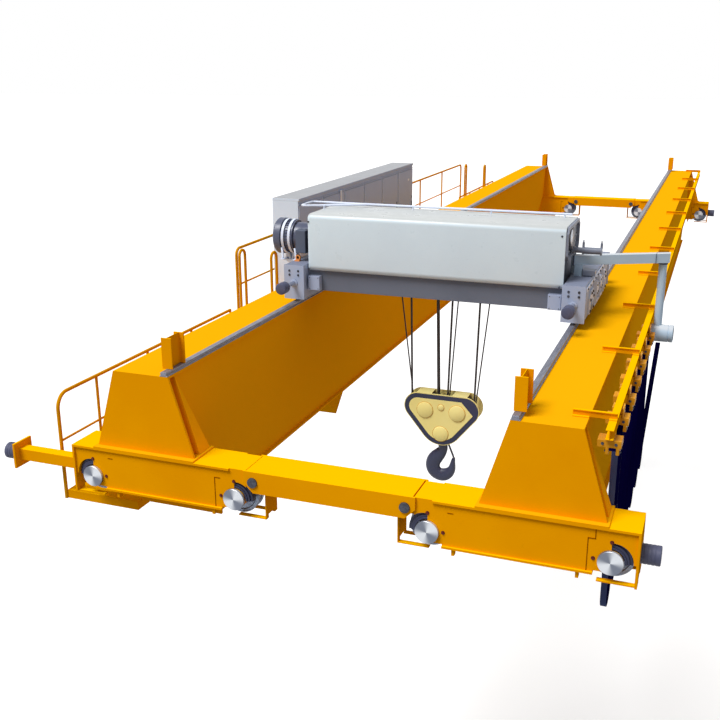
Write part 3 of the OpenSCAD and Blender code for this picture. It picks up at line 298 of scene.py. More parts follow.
class Shape:
    """Geometry put together from boxes, rods, slabs and turned forms, in the crane's own axes."""

    def __init__(self):
        self.mesh = bmesh.new()

    def box(self, corner, opposite):
        low, high = (Vector(c) for c in zip(*(sorted(pair) for pair in zip(corner, opposite))))
        matrix = Matrix.Translation((low + high) / 2) @ Matrix.Diagonal((*(high - low), 1))
        bmesh.ops.create_cube(self.mesh, size=1, matrix=matrix)
        return self

    def rod(self, start, end, radius, sides):
        start, end = Vector(start), Vector(end)
        along = end - start
        matrix = Matrix.Translation((start + end) / 2) @ along.to_track_quat("Z", "Y").to_matrix().to_4x4()
        bmesh.ops.create_cone(self.mesh, cap_ends=True, segments=sides, radius1=radius, radius2=radius,
                              depth=along.length, matrix=matrix)
        return self

    def bolt(self, seat, direction, radius):
        """A washer and a hexagon head standing on seat."""
        seat, direction = Vector(seat), Vector(direction)
        self.rod(seat, seat + direction * radius * 0.25, radius * 1.5, 16)
        self.rod(seat, seat + direction * radius, radius, 6)

    def slab(self, outline, axis, low, high):
        """A flat outline pulled along x or y. Its pairs are the other two coordinates, in order."""
        place = {"x": lambda p, d: (d, p[0], p[1]), "y": lambda p, d: (p[0], d, p[1])}[axis]
        self.loft([[self.mesh.verts.new(place(p, d)) for p in outline] for d in (low, high)])

    def skin(self, rings, closed=True):
        """Joins each ring of points to the next with four-sided faces."""
        for first, second in zip(rings, rings[1:]):
            for i in range(len(first) if closed else len(first) - 1):
                j = (i + 1) % len(first)
                self.mesh.faces.new((first[i], first[j], second[j], second[i]))

    def loft(self, rings):
        """A skin over rings of points, closed at both ends."""
        self.skin(rings)
        self.mesh.faces.new(rings[0])
        self.mesh.faces.new(rings[-1][::-1])
        return self

    def turned(self, profile, centre, axis, sides):
        """A profile of (along, radius) pairs turned about an axis through centre."""
        turn = Vector(axis).to_track_quat("Z", "Y")
        return self.loft([[self.mesh.verts.new(Vector(centre) + turn @ Vector((
            radius * math.cos(math.tau * i / sides), radius * math.sin(math.tau * i / sides), along)))
            for i in range(sides)] for along, radius in profile])

    def tube(self, path, radius, sides):
        """A round tube along a path. radius is one number, or an (across, through) pair for each point."""
        path = [Vector(p) for p in path]
        rings, side = [], None
        for i, point in enumerate(path):
            ahead = (path[min(i + 1, len(path) - 1)] - path[max(i - 1, 0)]).normalized()
            if side is None:
                side = ahead.orthogonal() if abs(ahead.y) > 0.9 else Y.cross(ahead)
            side = (side - ahead * side.dot(ahead)).normalized()
            across, through = radius[i] if isinstance(radius, list) else (radius, radius)
            rings.append([self.mesh.verts.new(
                point + side * across * math.cos(math.tau * k / sides)
                + ahead.cross(side) * through * math.sin(math.tau * k / sides)) for k in range(sides)])
        return self.loft(rings)

    def object(self, name, material, sharp=35, bevel=0.0):
        """The shape as an object that rides nothing yet."""
        bmesh.ops.recalc_face_normals(self.mesh, faces=self.mesh.faces)
        return stand(name, self.mesh, bpy.data.meshes.new(name), material, sharp, bevel)

    def place(self, name, body, material, sharp=35, bevel=0.0, replaces=()):
        """The shape as an object that moves with a body."""
        thing = self.object(name, material, sharp, bevel)
        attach(thing, body)
        if replaces:
            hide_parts(*replaces)


def stand(name, shape, mesh, material, sharp, bevel):
    """Fills a mesh from a shape and makes an object of it.

    Edges of more than sharp degrees stay hard, and a bevel eases those of more than 40.
    """
    for face in shape.faces:
        face.smooth = True
    shape.to_mesh(mesh)
    shape.free()
    for attribute in ("custom_normal", "sharp_face"):
        if attribute in mesh.attributes:
            mesh.attributes.remove(mesh.attributes[attribute])
    mesh.set_sharp_from_angle(angle=math.radians(sharp))
    mesh.materials.clear()
    mesh.materials.append(material)
    thing = bpy.data.objects.new(name, mesh)
    bpy.context.scene.collection.objects.link(thing)
    if bevel:
        eased = thing.modifiers.new("eased", "BEVEL")
        eased.width, eased.segments, eased.harden_normals = bevel, 2, True
        eased.limit_method, eased.angle_limit = "ANGLE", math.radians(40)
    return thing


def dress(node, bevel=0.004):
    """Stands a copy of a CAD node in its place, with flat stretches merged and its sharp edges eased."""
    mesh = nodes[node].data.copy()
    mesh.name = node + "_skin"
    shape = bmesh.new()
    shape.from_mesh(mesh)
    bmesh.ops.remove_doubles(shape, verts=shape.verts, dist=0.00002)
    bmesh.ops.dissolve_limit(shape, angle_limit=0.002, verts=shape.verts, edges=shape.edges)
    skin = stand(node + "_skin", shape, mesh, finish_of(node), 32, bevel)
    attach(skin, body_of[node])
    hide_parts(node)


def mirrored(profile):
    """A profile of (along, radius) pairs, followed by its mirror image on the other side of zero."""
    return profile + [(-along, radius) for along, radius in profile[::-1]]


def arc(centre, radius, start, end, steps):
    """Points on an arc, with angles in degrees."""
    return [(centre[0] + radius * math.cos(math.radians(start + (end - start) * i / steps)),
             centre[1] + radius * math.sin(math.radians(start + (end - start) * i / steps)))
            for i in range(steps + 1)]


def wrapped(circles):
    """Outline of a band stretched round circles given as (x, z, radius)."""
    steps, digits = 64, 6
    points = {tuple(round(value, digits) for value in point)
              for x, z, radius in circles for point in arc((x, z), radius, 0, 360, steps)}

    def side(row):
        chain = []
        for p in row:
            while len(chain) > 1 and ((chain[-1][0] - chain[-2][0]) * (p[1] - chain[-2][1])
                                      - (chain[-1][1] - chain[-2][1]) * (p[0] - chain[-2][0])) <= 0:
                chain.pop()
            chain.append(p)
        return chain[:-1]
    return side(sorted(points)) + side(sorted(points, reverse=True))


def clipped(outline, point, normal):
    """The part of an outline on the near side of a line through point."""
    def depth(p):
        return (p[0] - point[0]) * normal[0] + (p[1] - point[1]) * normal[1]
    kept = []
    for p, q in zip(outline, outline[1:] + outline[:1]):
        dp, dq = depth(p), depth(q)
        if dp <= 0:
            kept.append(p)
        if (dp < 0 < dq) or (dq < 0 < dp):
            share = dp / (dp - dq)
            kept.append((p[0] + share * (q[0] - p[0]), p[1] + share * (q[1] - p[1])))
    return kept


# -------- runway wheels and carriages

def runway_wheels():
    """Flanged wheels with dished sides, and the turned caps on their axles."""
    profile = mirrored([(-0.175, 0.06), (-0.055, 0.06), (-0.055, 0.088), (-0.047, 0.098), (-0.047, 0.142),
                        (-0.055, 0.15), (-0.055, 0.176), (-0.052, 0.18), (-0.044, 0.18), (-0.04, 0.165)])
    for node in RUNWAY_WHEELS:
        centre, body = middle(node), body_of[node]
        Shape().turned(profile, centre, Y, 64).place(node + "_body", body, WHEEL, replaces=(node,))
        for side, word in ((-1, "near"), (1, "far")):
            cap = Shape().turned([(0.175, 0.1), (0.197, 0.1), (0.2, 0.097)], (0, 0, 0), Y * side, 64)
            cap = cap.object(f"{node}_cap_{word}", MACHINED)
            cap.location = centre
            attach(cap, body)


def wheel_bays():
    """Dark navy stepped arcs in the upper part of each window as painted shade over the wheel's face, bolts
    beside the caps and the welded seams of the wheel bays.
    """
    shade_arches, bolts, seams = Shape(), Shape(), Shape()
    inner_reach, bore, bead, seam_top, seam_width = 1.5, 0.104, 0.006, 0.345, 0.055
    for node in RUNWAY_WHEELS:
        at = middle(node)
        outer = abs(at.x) > inner_reach
        way = 1 if (at.x > 0) == outer else -1  # the side of the wheel that its window is on
        start, end = (-6, 108) if way > 0 else (186, 72)
        edge = at.x - (0.18 if outer else 0.19)
        corner = edge + seam_width
        strips = [(at.x + 0.165, at.x + 0.215, 0.354, 0.354 + bead)]
        if way > 0:
            strips = [(edge - bead / 2, edge + bead / 2, 0.062, seam_top),
                      (edge, corner, seam_top - bead, seam_top)]
            if outer:
                strips.append((corner - bead / 2, corner + bead / 2, seam_top - bead, 0.43))
        for side in (-1, 1):
            # painted shade: dark navy stepped arcs over the upper part of the wheel's face in each window,
            # where it lies in shadow
            for radius, near, far in ((0.165, 0.085, 0.142), (0.142, 0.142, 0.158), (0.122, 0.158, 0.168)):
                ring = arc((at.x, at.z), bore, start, end, 20) + arc((at.x, at.z), radius, end, start, 20)
                shade_arches.slab(ring, "y", at.y + side * near, at.y + side * far)
            face = at.y + side * CARRIAGE_HALF
            for dx, dz in ((0.0, 0.165), (-way * 0.133, 0.01)):
                bolts.bolt((at.x + dx, face, at.z + dz), Y * side, 0.011)
            for x0, x1, z0, z1 in strips:
                seams.box((x0, face, z0), (x1, face + side * 0.003, z1))
    shade_arches.place("window_shade_arches", "bridge", NAVY, bevel=0.004)
    bolts.place("carriage_bolts", "bridge", RED)
    seams.place("carriage_seams", "bridge", SEAM)


def bridge_buffers():
    """Ribbed rubber buffers on steel foot plates."""
    low, high = box_of("bridge_buffers")
    length, centre_z, pitch = 0.15, 0.195, 0.03
    ribs = [(0.012, 0.079)]
    for i in range(4):
        start = 0.016 + i * pitch
        ribs += [(start, 0.0775), (start + 0.004, 0.0775), (start + 0.006, 0.0798), (start + 0.027, 0.0798)]
    ribs += [(0.144, 0.079), (0.149, 0.074), (length, 0.062), (0.144, 0.058)]
    for x, way, along in ((low.x + length, -1, "left"), (high.x - length, 1, "right")):
        for y, across in ((-RUNWAY_Y, "near"), (RUNWAY_Y, "far")):
            Shape().turned(ribs, (x, y, centre_z), X * way, 40).place(
                f"bridge_buffer_{along}_{across}", "bridge", RUBBER, replaces=("bridge_buffers",))
            Shape().turned([(0, 0.08), (0.012, 0.08)], (x, y, centre_z), X * way, 40).place(
                f"buffer_foot_{along}_{across}", "bridge", DARK)


# -------- trolley

def trolley_wheels():
    """Flanged wheels with a groove round each hub, and their axles out to the bearings."""
    profile = mirrored([(-0.134, 0.058), (-0.131, 0.063), (-0.115, 0.063), (-0.115, 0.035), (-0.047, 0.035),
                        (-0.047, 0.06), (-0.041, 0.07), (-0.041, 0.11), (-0.047, 0.118), (-0.047, 0.137),
                        (-0.044, 0.14), (-0.038, 0.14), (-0.035, 0.125)])
    for k in range(1, 5):
        node = f"trolley_wheel_{k}"
        Shape().turned(profile, middle(node), X, 56).place(
            node + "_body", body_of[node], WHEEL, replaces=(node,))


def trolley_ends():
    """Bolts on the end plates, and the trolley's buffers on their shafts."""
    dark, shafts, heads = Shape(), Shape(), Shape()
    shaft = [(0, 0.042), (0.012, 0.042), (0.016, 0.024), (0.24, 0.024)]
    head = [(0.24, 0.05), (0.245, 0.064), (0.28, 0.065), (0.284, 0.06), (0.292, 0.06), (0.296, 0.065),
            (0.345, 0.065), (0.36, 0.058), (0.365, 0.045)]
    for side in (-1, 1):
        x = side * TROLLEY_X
        for face, way in ((TROLLEY_NEAR, -1), (TROLLEY_FAR, 1)):
            for dx in (-0.053, 0.053):
                for z in (1.545, 1.592):
                    dark.bolt((x + dx, face, z), Y * way, 0.009)
            shafts.turned(shaft, (x, face, BUFFER_Z), Y * way, 32)
            heads.turned(head, (x, face, BUFFER_Z), Y * way, 40)
    dark.place("end_plate_bolts", "trolley", DARK)
    shafts.place("trolley_buffer_shafts", "trolley", TROLLEY, replaces=("trolley_buffers",))
    heads.place("trolley_buffer_heads", "trolley", RUBBER, replaces=("trolley_buffers",))


def carriage_sides():
    """Bearing housings, stiffeners and bolted strips on the trolley carriages' outer sides."""
    plates, bolts = Shape(), Shape()
    foot, shoulder, crown, axle_z, housing, strip, pads = 1.29, 1.46, 1.53, 1.365, 0.016, 0.012, 0.03
    stiffeners = [-5.93 + i * 0.31 for i in range(3)]
    blocks = [(-6.56, -4.67, 1.585, 1.625, strip), (-5.95, -5.29, 1.30, 1.33, 0.025)]
    blocks += [(y - 0.006, y + 0.006, 1.33, 1.585, 0.04) for y in stiffeners]
    pad_spans = ((-5.84, -5.70), (-5.53, -5.39))
    for side in (-1, 1):
        face = side * (TROLLEY_X + 0.11)
        for axle in TROLLEY_AXLES:
            ring = [(axle + 0.15, foot), (axle + 0.15, shoulder), (axle + 0.08, crown), (axle - 0.08, crown),
                    (axle - 0.15, shoulder), (axle - 0.15, foot), (axle - 0.07, foot)]
            ring += arc((axle, axle_z), 0.066, 205, -25, 20) + [(axle + 0.07, foot)]
            plates.slab(ring, "x", face, face + side * housing)
            for reach, z in ((0.12, 1.44), (0.12, 1.32), (0.05, 1.5)):
                for y in (axle - reach, axle + reach):
                    bolts.bolt((face + side * housing, y, z), X * side, 0.012)
        for y0, y1, z0, z1, thick in blocks + [(y0, y1, 1.40, 1.53, pads) for y0, y1 in pad_spans]:
            plates.box((face, y0, z0), (face + side * thick, y1, z1))
        for i in range(10):
            bolts.bolt((face + side * strip, -6.47 + i * 0.19, 1.605), X * side, 0.009)
        for y0, y1 in pad_spans:
            for y in (y0 + 0.02, y1 - 0.02):
                for z in (1.42, 1.51):
                    bolts.bolt((face + side * pads, y, z), X * side, 0.008)
    plates.place("carriage_fittings", "trolley", WHITE, bevel=0.002)
    bolts.place("carriage_fitting_bolts", "trolley", DARK)


def hoist_cover():
    """The folded cover: its ends turn in, more at the motor's end, and screws hold its corners."""
    low, high = box_of("hoist_cover")
    corner, sheet, turn_in, steps = 0.06, 0.004, 0.04, 6

    def outline(inset):
        r = corner - min(inset, 0.05)
        y0, y1, z0, z1 = low.y + inset, high.y - inset, low.z, high.z - inset
        return ([(y1, z0)] + arc((y1 - r, z1 - r), r, 0, 90, 10) + arc((y0 + r, z1 - r), r, 90, 180, 10)
                + arc((y0 + r, z0 + r), r, 180, 270, 10) + [(y0 + r + 0.03, z0)])
    stations = []
    for i in range(steps, -1, -1):
        angle = math.radians(90 * i / steps)
        stations.append((low.x + turn_in * (1 - math.sin(angle)), turn_in * (1 - math.cos(angle))))
    stations += [(high.x - 0.008, 0.0), (high.x - 0.002, 0.002), (high.x, 0.008)]
    shape, shells = Shape(), []
    for extra in (0.0, sheet):
        shells.append([[shape.mesh.verts.new((min(max(x, low.x + extra), high.x - extra), *p))
                        for p in outline(inset + extra)] for x, inset in stations])
        shape.skin(shells[-1], closed=False)
    for end in (0, -1):
        shape.skin([shells[0][end], shells[1][end]], closed=False)
        shape.skin([[ring[end] for ring in shell] for shell in shells], closed=False)
    shape.place("hoist_cover_sheet", "trolley", COVER, sharp=50, replaces=("hoist_cover",))
    screws = Shape()
    for x in (-1.405, 1.385):
        for z in (1.607, 2.134):
            for y, way in ((low.y, -Y), (high.y, Y)):
                screws.turned([(-0.002, 0.011), (0.004, 0.011), (0.007, 0.007)], (x, y, z), way, 20)
    screws.place("cover_screws", "trolley", DARK)


def cover_frame():
    """A white rod along the cover's back, bent round its motor end and back across the top, on short feet."""
    rods = Shape()
    left, near, far, bend, top, foot = -1.63, -6.195, -5.86, 0.05, 2.262, 2.223
    path = [(1.38, far)] + arc((left + bend, far - bend), bend, 90, 180, 6)
    path += arc((left + bend, near + bend), bend, 180, 290, 7) + [(-0.95, far - 0.02)]
    rods.tube([(x, y, top) for x, y in path], 0.013, 12)
    for x, y in ((-1.3, far), (-0.4, far), (0.5, far), (1.3, far), (-1.38, -6.11)):
        rods.rod((x, y, foot), (x, y, top), 0.009, 12)
    rods.place("cover_frame", "trolley", WHITE)


def hoist_motor():
    """Finned motor with a fan cowl, a drive flange, and the neck into the drum."""
    body, dark = Shape(), Shape()
    at = Vector((0, DRUM_Y, DRUM_Z))
    cowl, flange = -1.845, -1.722
    shell = [(-1.945, 0.12), (-1.944, 0.175), (-1.936, 0.196), (-1.92, 0.206), (-1.852, 0.206), (-1.847, 0.202),
             (-1.847, 0.181), (flange, 0.181), (flange, 0.187), (-1.718, 0.19), (-1.704, 0.19), (-1.7, 0.186),
             (-1.7, 0.165), (-1.62, 0.165), (-1.61, 0.16), (-1.4, 0.16)]
    body.turned(shell, at, X, 72)
    fins, root, tip, half = 36, 0.175, 0.1895, 0.002
    for i in range(fins):
        angle = math.tau * i / fins
        out = Vector((0, math.cos(angle), math.sin(angle)))
        side = Vector((0, -math.sin(angle), math.cos(angle))) * half
        corners = [at + out * r + side * s for r, s in ((root, -1), (tip, -1), (tip, 1), (root, 1))]
        body.slab([(c.y, c.z) for c in corners], "x", cowl, flange)
    body.place("motor_body", "trolley", MOTOR, sharp=30, replaces=("hoist_motor",))
    front, back, wire = -1.9462, -1.944, 0.008
    for radius in (0.03, 0.06, 0.09, 0.12, 0.15):
        dark.turned([(front, radius + wire), (back, radius + wire), (back, radius), (front, radius)], at, X, 40)
    bolts, circle = 8, 0.177
    for i in range(bolts):
        angle = math.tau * (i + 0.5) / bolts
        dark.bolt(at + Vector((-1.7, circle * math.cos(angle), circle * math.sin(angle))), X, 0.007)
    dark.place("motor_grille_and_bolts", "trolley", DARK)
    dress("motor_straps", 0.002)
    low, high = box_of("motor_straps")
    feet = Shape()
    for x in (low.x + 0.018, high.x - 0.018):
        feet.tube([(x, DRUM_Y - 0.16, DRUM_Z - 0.115), (x + 0.02, DRUM_Y - 0.185, DRUM_Z - 0.16),
                   (x + 0.03, DRUM_Y - 0.2, 1.672)], 0.012, 12)
        feet.box((x + 0.005, DRUM_Y - 0.23, 1.655), (x + 0.055, DRUM_Y - 0.17, 1.667))
    feet.place("strap_feet", "trolley", WHITE, sharp=40)


def small_boxes():
    """Boxes on the trolley: two in front of the near beam, the motor's terminal box and the arm's drive.

    An orange lifting eye stands beside the terminal box.
    """
    boxes, lids, screws, slate = Shape(), Shape(), Shape(), Shape()
    front, lid_front = -6.52, -6.526
    for x0, x1 in ((-1.415, -1.275), (1.275, 1.415)):
        boxes.box((x0, front, 1.365), (x1, -6.45, 1.53))
        lids.box((x0 + 0.004, lid_front, 1.369), (x1 - 0.004, front, 1.526))
        for x in (x0 + 0.02, x1 - 0.02):
            for z in (1.385, 1.51):
                screws.turned([(0, 0.005), (0.003, 0.005)], (x, lid_front, z), -Y, 12)
    boxes.place("junction_boxes_body", "trolley", TROLLEY, bevel=0.005, replaces=("junction_boxes",))
    lids.place("junction_box_lids", "trolley", TROLLEY, bevel=0.002)
    slate.box((-1.62, -6.391, 1.75), (-1.495, -6.28, 2.01))
    slate.box((-1.616, -6.397, 1.755), (-1.499, -6.391, 2.005))
    slate.box((-1.60, -6.345, 2.01), (-1.515, -6.285, 2.016))
    slate.place("terminal_box", "trolley", SLATE, bevel=0.005, replaces=("junction_boxes",))
    screws.place("lid_screws", "trolley", DARK)
    drive = Shape().box((1.565, -6.12, 1.655), (1.65, -6.04, 1.668))
    drive.box((1.556, -6.13, 1.668), (1.69, -6.02, 1.725))
    drive.place("arm_drive_box", "trolley", CASING, bevel=0.004)
    eye = Shape().box((-1.635, -6.40, 1.655), (-1.575, -6.345, 1.668))
    half, hole, rim = 0.011, 0.016, 0.031
    eye.turned([(-half, hole), (-half, rim), (half, rim), (half, hole), (-half, hole)],
               (-1.60, -6.372, 1.697), Y, 24)
    eye.place("carriage_eye", "trolley", ORANGE)


def gear_end():
    """The casing at the drum's far end: a raised rim round a dark recess with the drum's bearing in it.

    The limit switch hangs beside it from two stems.
    """
    low, high = box_of("gear_unit")
    chamfer = 0.06

    def eight(inset):
        y0, y1, z0, z1 = low.y + inset, high.y - inset, low.z + inset, high.z - inset
        c = chamfer - inset * 0.4
        return [(y0 + c, z0), (y1 - c, z0), (y1, z0 + c), (y1, z1 - c), (y1 - c, z1), (y0 + c, z1),
                (y0, z1 - c), (y0, z0 + c)]
    rim = Shape()
    rim.loft([[rim.mesh.verts.new((x, *p)) for p in eight(inset)] for x, inset in (
        (low.x, 0), (high.x - 0.004, 0), (high.x, 0.004), (high.x, 0.03), (high.x - 0.004, 0.034),
        (high.x - 0.03, 0.04))])
    rim.place("gear_casing", "trolley", CASING, sharp=30, replaces=("gear_unit",))
    dark, bright = Shape(), Shape()
    dark.slab(eight(0.05), "x", high.x - 0.031, high.x - 0.027)
    dark.turned([(0, 0.125), (0.012, 0.125), (0.016, 0.12)], (high.x - 0.028, DRUM_Y, 2.04), X, 40)
    dark.place("gear_recess", "trolley", DARK)
    bright.turned([(0, 0.075), (0.008, 0.075), (0.014, 0.05), (0.014, 0.0)],
                  (high.x - 0.014, DRUM_Y - 0.12, 2.09), X, 32)
    bolts, centre_z, half_width, half_height = 12, 2.043, 0.30, 0.118
    for i in range(bolts):
        angle = math.tau * i / bolts
        y, z = DRUM_Y + half_width * math.cos(angle), centre_z + half_height * math.sin(angle)
        bright.bolt((high.x - 0.027, y, z), X, 0.008)
    bright.place("gear_fittings", "trolley", STEEL)
    switch = Shape()
    z, shoulder, roof = 1.935, 2.02, 2.043
    switch.turned([(1.45, 0.043), (1.465, 0.043), (1.465, 0.03), (1.545, 0.03), (1.545, 0.043), (1.56, 0.043),
                   (1.56, 0.035), (1.73, 0.035), (1.73, 0.043), (1.745, 0.043)], (0, DRUM_Y, z), X, 40)
    for x in (1.553, 1.738):
        switch.rod((x, DRUM_Y, z + 0.03), (x, DRUM_Y, shoulder), 0.013, 14)
        switch.rod((x, DRUM_Y, shoulder), (x, DRUM_Y, roof), 0.007, 12)
    switch.place("limit_switch_body", "trolley", CASING, replaces=("limit_switch",))


def tow_arm():
    """Collars at both ends of the arm, the drop tube's socket and the clamp's end discs."""
    dress("tow_arm", 0.006)
    collars = Shape()
    for x0, x1, y0, y1 in ((1.452, 1.468, -6.136, -6.0), (2.262, 2.268, -5.74, -5.615)):
        collars.box((x0, y0, 1.768), (x1, y1, 1.872))
    collars.turned([(1.745, 0.05), (1.773, 0.05)], (2.335, FESTOON_END, 0), Z, 32)
    collars.place("arm_collars", "trolley", SLATE, bevel=0.002)
    at, disc, barrel = (0, FESTOON_END, 0.985), 0.095, 0.09
    Shape().turned([(2.265, 0.088), (2.27, disc), (2.3, disc), (2.302, barrel), (2.31, barrel), (2.312, disc),
                    (2.45, disc), (2.452, barrel), (2.46, barrel), (2.462, disc), (2.5, disc), (2.505, 0.088)],
                   at, X, 48).place("tow_clamp_body", "trolley", ARM, replaces=("tow_clamp",))
    Shape().turned([(2.5, 0.07), (2.508, 0.066), (2.508, 0.02)], at, X, 32).place(
        "tow_clamp_end", "trolley", DARK)


# -------- cabinets

def cabinets():
    """Six cabinets: plinth, case, door with handle, hinges and louvres, and a roof with a drip edge."""
    cases, doors, dark, light = Shape(), Shape(), Shape(), Shape()
    start, pitch, gap, base, plinth, roof = -4.73, 0.822, 0.005, 0.515, 0.06, 1.57
    back, front, door = -2.70, -2.33, 0.012
    face = front + door
    for i in range(6):
        y0 = start + i * pitch
        y1 = y0 + pitch - gap
        dark.box((back + 0.02, y0 + 0.01, base), (front - 0.02, y1 - 0.01, base + plinth))
        cases.box((back, y0, base + plinth), (front, y1, base + roof))
        cases.box((back, y0, base + roof), (front + 0.015, y1, base + roof + 0.03))
        cases.box((front, y0 + 0.002, base + 1.515), (front + 0.008, y1 - 0.002, base + 1.53))
        for x0, x1 in ((front, face), (back - door, back)):
            doors.box((x0, y0 + 0.022, base + 0.1), (x1, y1 - 0.022, base + 1.505))
        dark.box((face, y1 - 0.085, base + 0.75), (face + 0.01, y1 - 0.06, base + 0.95))
        dark.box((face, y1 - 0.079, base + 1.0), (face + 0.008, y1 - 0.066, base + 1.04))
        for z in (base + 0.22, base + 1.36):
            doors.rod((face - 0.006, y0 + 0.019, z), (face - 0.006, y0 + 0.019, z + 0.08), 0.008, 10)
        for k in range(6):
            z = base + 0.18 + k * 0.035
            for x0, x1 in ((face - 0.0002, face + 0.0015), (back - door - 0.0015, back - door + 0.0002)):
                dark.box((x0, y0 + 0.28, z), (x1, y1 - 0.28, z + 0.012))
        if i in (1, 5):
            light.box((face, y1 - 0.30, base + 1.32), (face + 0.004, y1 - 0.22, base + 1.36))
    light.box((face, -3.29, 1.86), (face + 0.018, -3.24, 2.055))
    cases.place("cabinet_cases", "bridge", CABINET, bevel=0.003, replaces=("control_cabinets",))
    doors.place("cabinet_doors", "bridge", CABINET, bevel=0.003)
    dark.place("cabinet_fittings", "bridge", LOUVRE)
    light.place("cabinet_labels", "bridge", WHITE, bevel=0.002)


# -------- festoon


def flat_cables(shape, path, layers=(-1, 0, 1)):
    """Flat cables of the pack: thin strips with rounded edges, side by side about the pack's middle."""
    half, thin, rounded, pitch = 0.025, 0.0031, 0.002, 0.0066
    edge = half - rounded
    section = [(-half, -thin / 2), (-edge, -thin), (edge, -thin), (half, -thin / 2),
               (half, thin / 2), (edge, thin), (-edge, thin), (-half, thin / 2)]
    for layer in layers:
        rings = []
        for i, point in enumerate(path):
            ahead = (Vector(path[min(i + 1, len(path) - 1)]) - Vector(path[max(i - 1, 0)])).normalized()
            out = X.cross(ahead).normalized()
            rings.append([shape.mesh.verts.new(Vector(point) + X * a + out * (layer * pitch + b))
                          for a, b in section])
        shape.loft(rings)


def festoon():
    """The flat cable pack: a loop from each clamp to the next.

    The first loop starts a little way from its clamp, and its far leg hangs clear of a trolley wheel
    that passes it. The last one leans out to the trolley's clamp. The front cable of the first loop
    is a lighter blue-grey, a painted highlight for its lit side.
    """
    half, thick, bend, lowest = 0.07, 0.02, 0.03, -0.52
    first_start, clear, last_top, last_lean, sway = -9.04, 0.064, 0.895, 0.085, 0.004
    bend_z = CABLE_TOP - bend

    def leg(y, from_z, to_z, lean, parts=13):
        """A run from one height to another, a little aside in its middle."""
        return [(y + lean * math.sin(math.pi * i / parts), from_z + (to_z - from_z) * i / parts)
                for i in range(1, parts)]
    for k in range(LOOPS):
        first, last = k == 0, k == LOOPS - 1
        y0, y1 = FESTOON_START + k * CLAMP_PITCH + half, FESTOON_START + (k + 1) * CLAMP_PITCH - half
        if first:
            y0, y1 = first_start, y1 + clear
        end_top = last_top if last else CABLE_TOP
        radius = (y1 - y0) / 2 - thick / 2
        level = lowest + radius + thick / 2
        lean = (k % 3 - 1) * sway
        left, right = y0 + thick / 2, y1 - thick / 2
        path = [(y0 - 0.01, CABLE_TOP - thick / 2), (y0, CABLE_TOP - thick / 2)]
        if first:
            path.append((left, bend_z))
        else:
            path += arc((left - 0.02, bend_z - thick / 2), bend, 90, 0, 5)[1:]
        path += leg(left, bend_z, level, lean) + arc(((y0 + y1) / 2, level), radius, 180, 360, 24)
        path += leg(right, level, end_top - bend, -lean)
        if last:
            path.append((right, end_top))
        else:
            path += arc((right + 0.02, bend_z - thick / 2), bend, 180, 90, 5)[1:]
            path.append((y1 + 0.01, CABLE_TOP - thick / 2))
        points = []
        for y, z in path:
            risen = max(0.0, (z - level) / (end_top - level)) if last and y > (y0 + y1) / 2 else 0.0
            points.append((CABLE_X + last_lean * risen, y, z))
        loop = Shape()
        flat_cables(loop, points, (0, 1) if first else (-1, 0, 1))
        things = [loop.object(f"festoon_loop_{k + 1}", CABLE, sharp=60)]
        if first:
            # the front cable takes a lighter blue-grey, a painted highlight for its lit side
            front = Shape()
            flat_cables(front, points, (-1,))
            things.append(front.object("festoon_loop_1_front", PAINTED_LIT_CABLE, sharp=60))
        for thing in things:
            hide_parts("festoon_cables")
            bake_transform(thing)


def carriers():
    """Dressed clamp blocks with their bolts, and the strip of cable that each of them holds."""
    for k in range(LOOPS):
        node = f"cable_carrier_{k}" if k else "festoon_end_clamp"
        y, z, half = FESTOON_START + k * CLAMP_PITCH, CABLE_TOP - 0.01, 0.078
        dress(node)
        body = body_of[node]
        strip, bolts = Shape(), Shape()
        flat_cables(strip, [(CABLE_X, y - half, z), (CABLE_X, y + half, z)])
        strip.place(node + "_cable", body, CABLE)
        for side in (1, -1):
            for dy in (-0.04, 0.04):
                bolts.bolt((CABLE_X + side * 0.051, y + dy, 1.01), X * side, 0.009)
        for x in (2.2, 2.3):
            bolts.bolt((x, y - 0.07, 1.075), -Y, 0.008)
        bolts.place(node + "_bolts", body, DARK)


# -------- hook block and ropes

def block_outline(inset):
    """The hook block's plate, drawn in by inset."""
    return wrapped([(HOOK_X - 0.285, SHEAVE_Z, 0.17 - inset), (HOOK_X + 0.285, SHEAVE_Z, 0.17 - inset),
                    (HOOK_X, -0.255, 0.27 - inset)])


def hook_block():
    """Cream side plates edged with a navy band, with raised covers over the sheave pins and the crosshead."""
    dress("block_plates", 0.006)
    dress("block_sheaves", 0.002)
    band, cream, rims = Shape(), Shape(), Shape()
    half, band_top, cream_top, rim = 0.102, 0.003, 0.008, 0.0012
    corner, slope = (HOOK_X + 0.29, -0.01), (0.74, 0.67)
    covers = ((-0.195, -0.1, 0.098, 0.014), (0.195, -0.1, 0.098, 0.014), (0, -0.05, 0.038, 0.010),
              (0, -0.38, 0.095, 0.010))
    for side in (-1, 1):
        face = HOOK_Y + side * half
        under, top = face + side * band_top, face + side * cream_top
        band.slab(block_outline(0.009), "y", face, under)
        cream.slab(clipped(block_outline(0.064), corner, slope), "y", under, top)
        for x, z, radius, height in covers:
            cream.turned([(0, radius), (height - 0.004, radius - 0.002), (height, radius - 0.008)],
                         (HOOK_X + x, top, z), Y * side, 48)
            rims.turned([(0, radius + 0.004), (rim, radius + 0.004), (rim, radius - 0.001)],
                        (HOOK_X + x, top, z), Y * side, 48)
    band.place("block_band", "hook_block", NAVY, bevel=0.0015)
    cream.place("block_faces", "hook_block", CREAM, sharp=40, bevel=0.0015)
    rims.place("block_cover_rims", "hook_block", BRONZE)


def smooth(a, b, c, d, t):
    """A point between b and c on a curve that runs smoothly through a, b, c and d. t goes from 0 to 1."""
    return 0.5 * (2 * b + (c - a) * t + (2 * a - 5 * b + 4 * c - d) * t * t + (3 * b - a - 3 * c + d) * t ** 3)


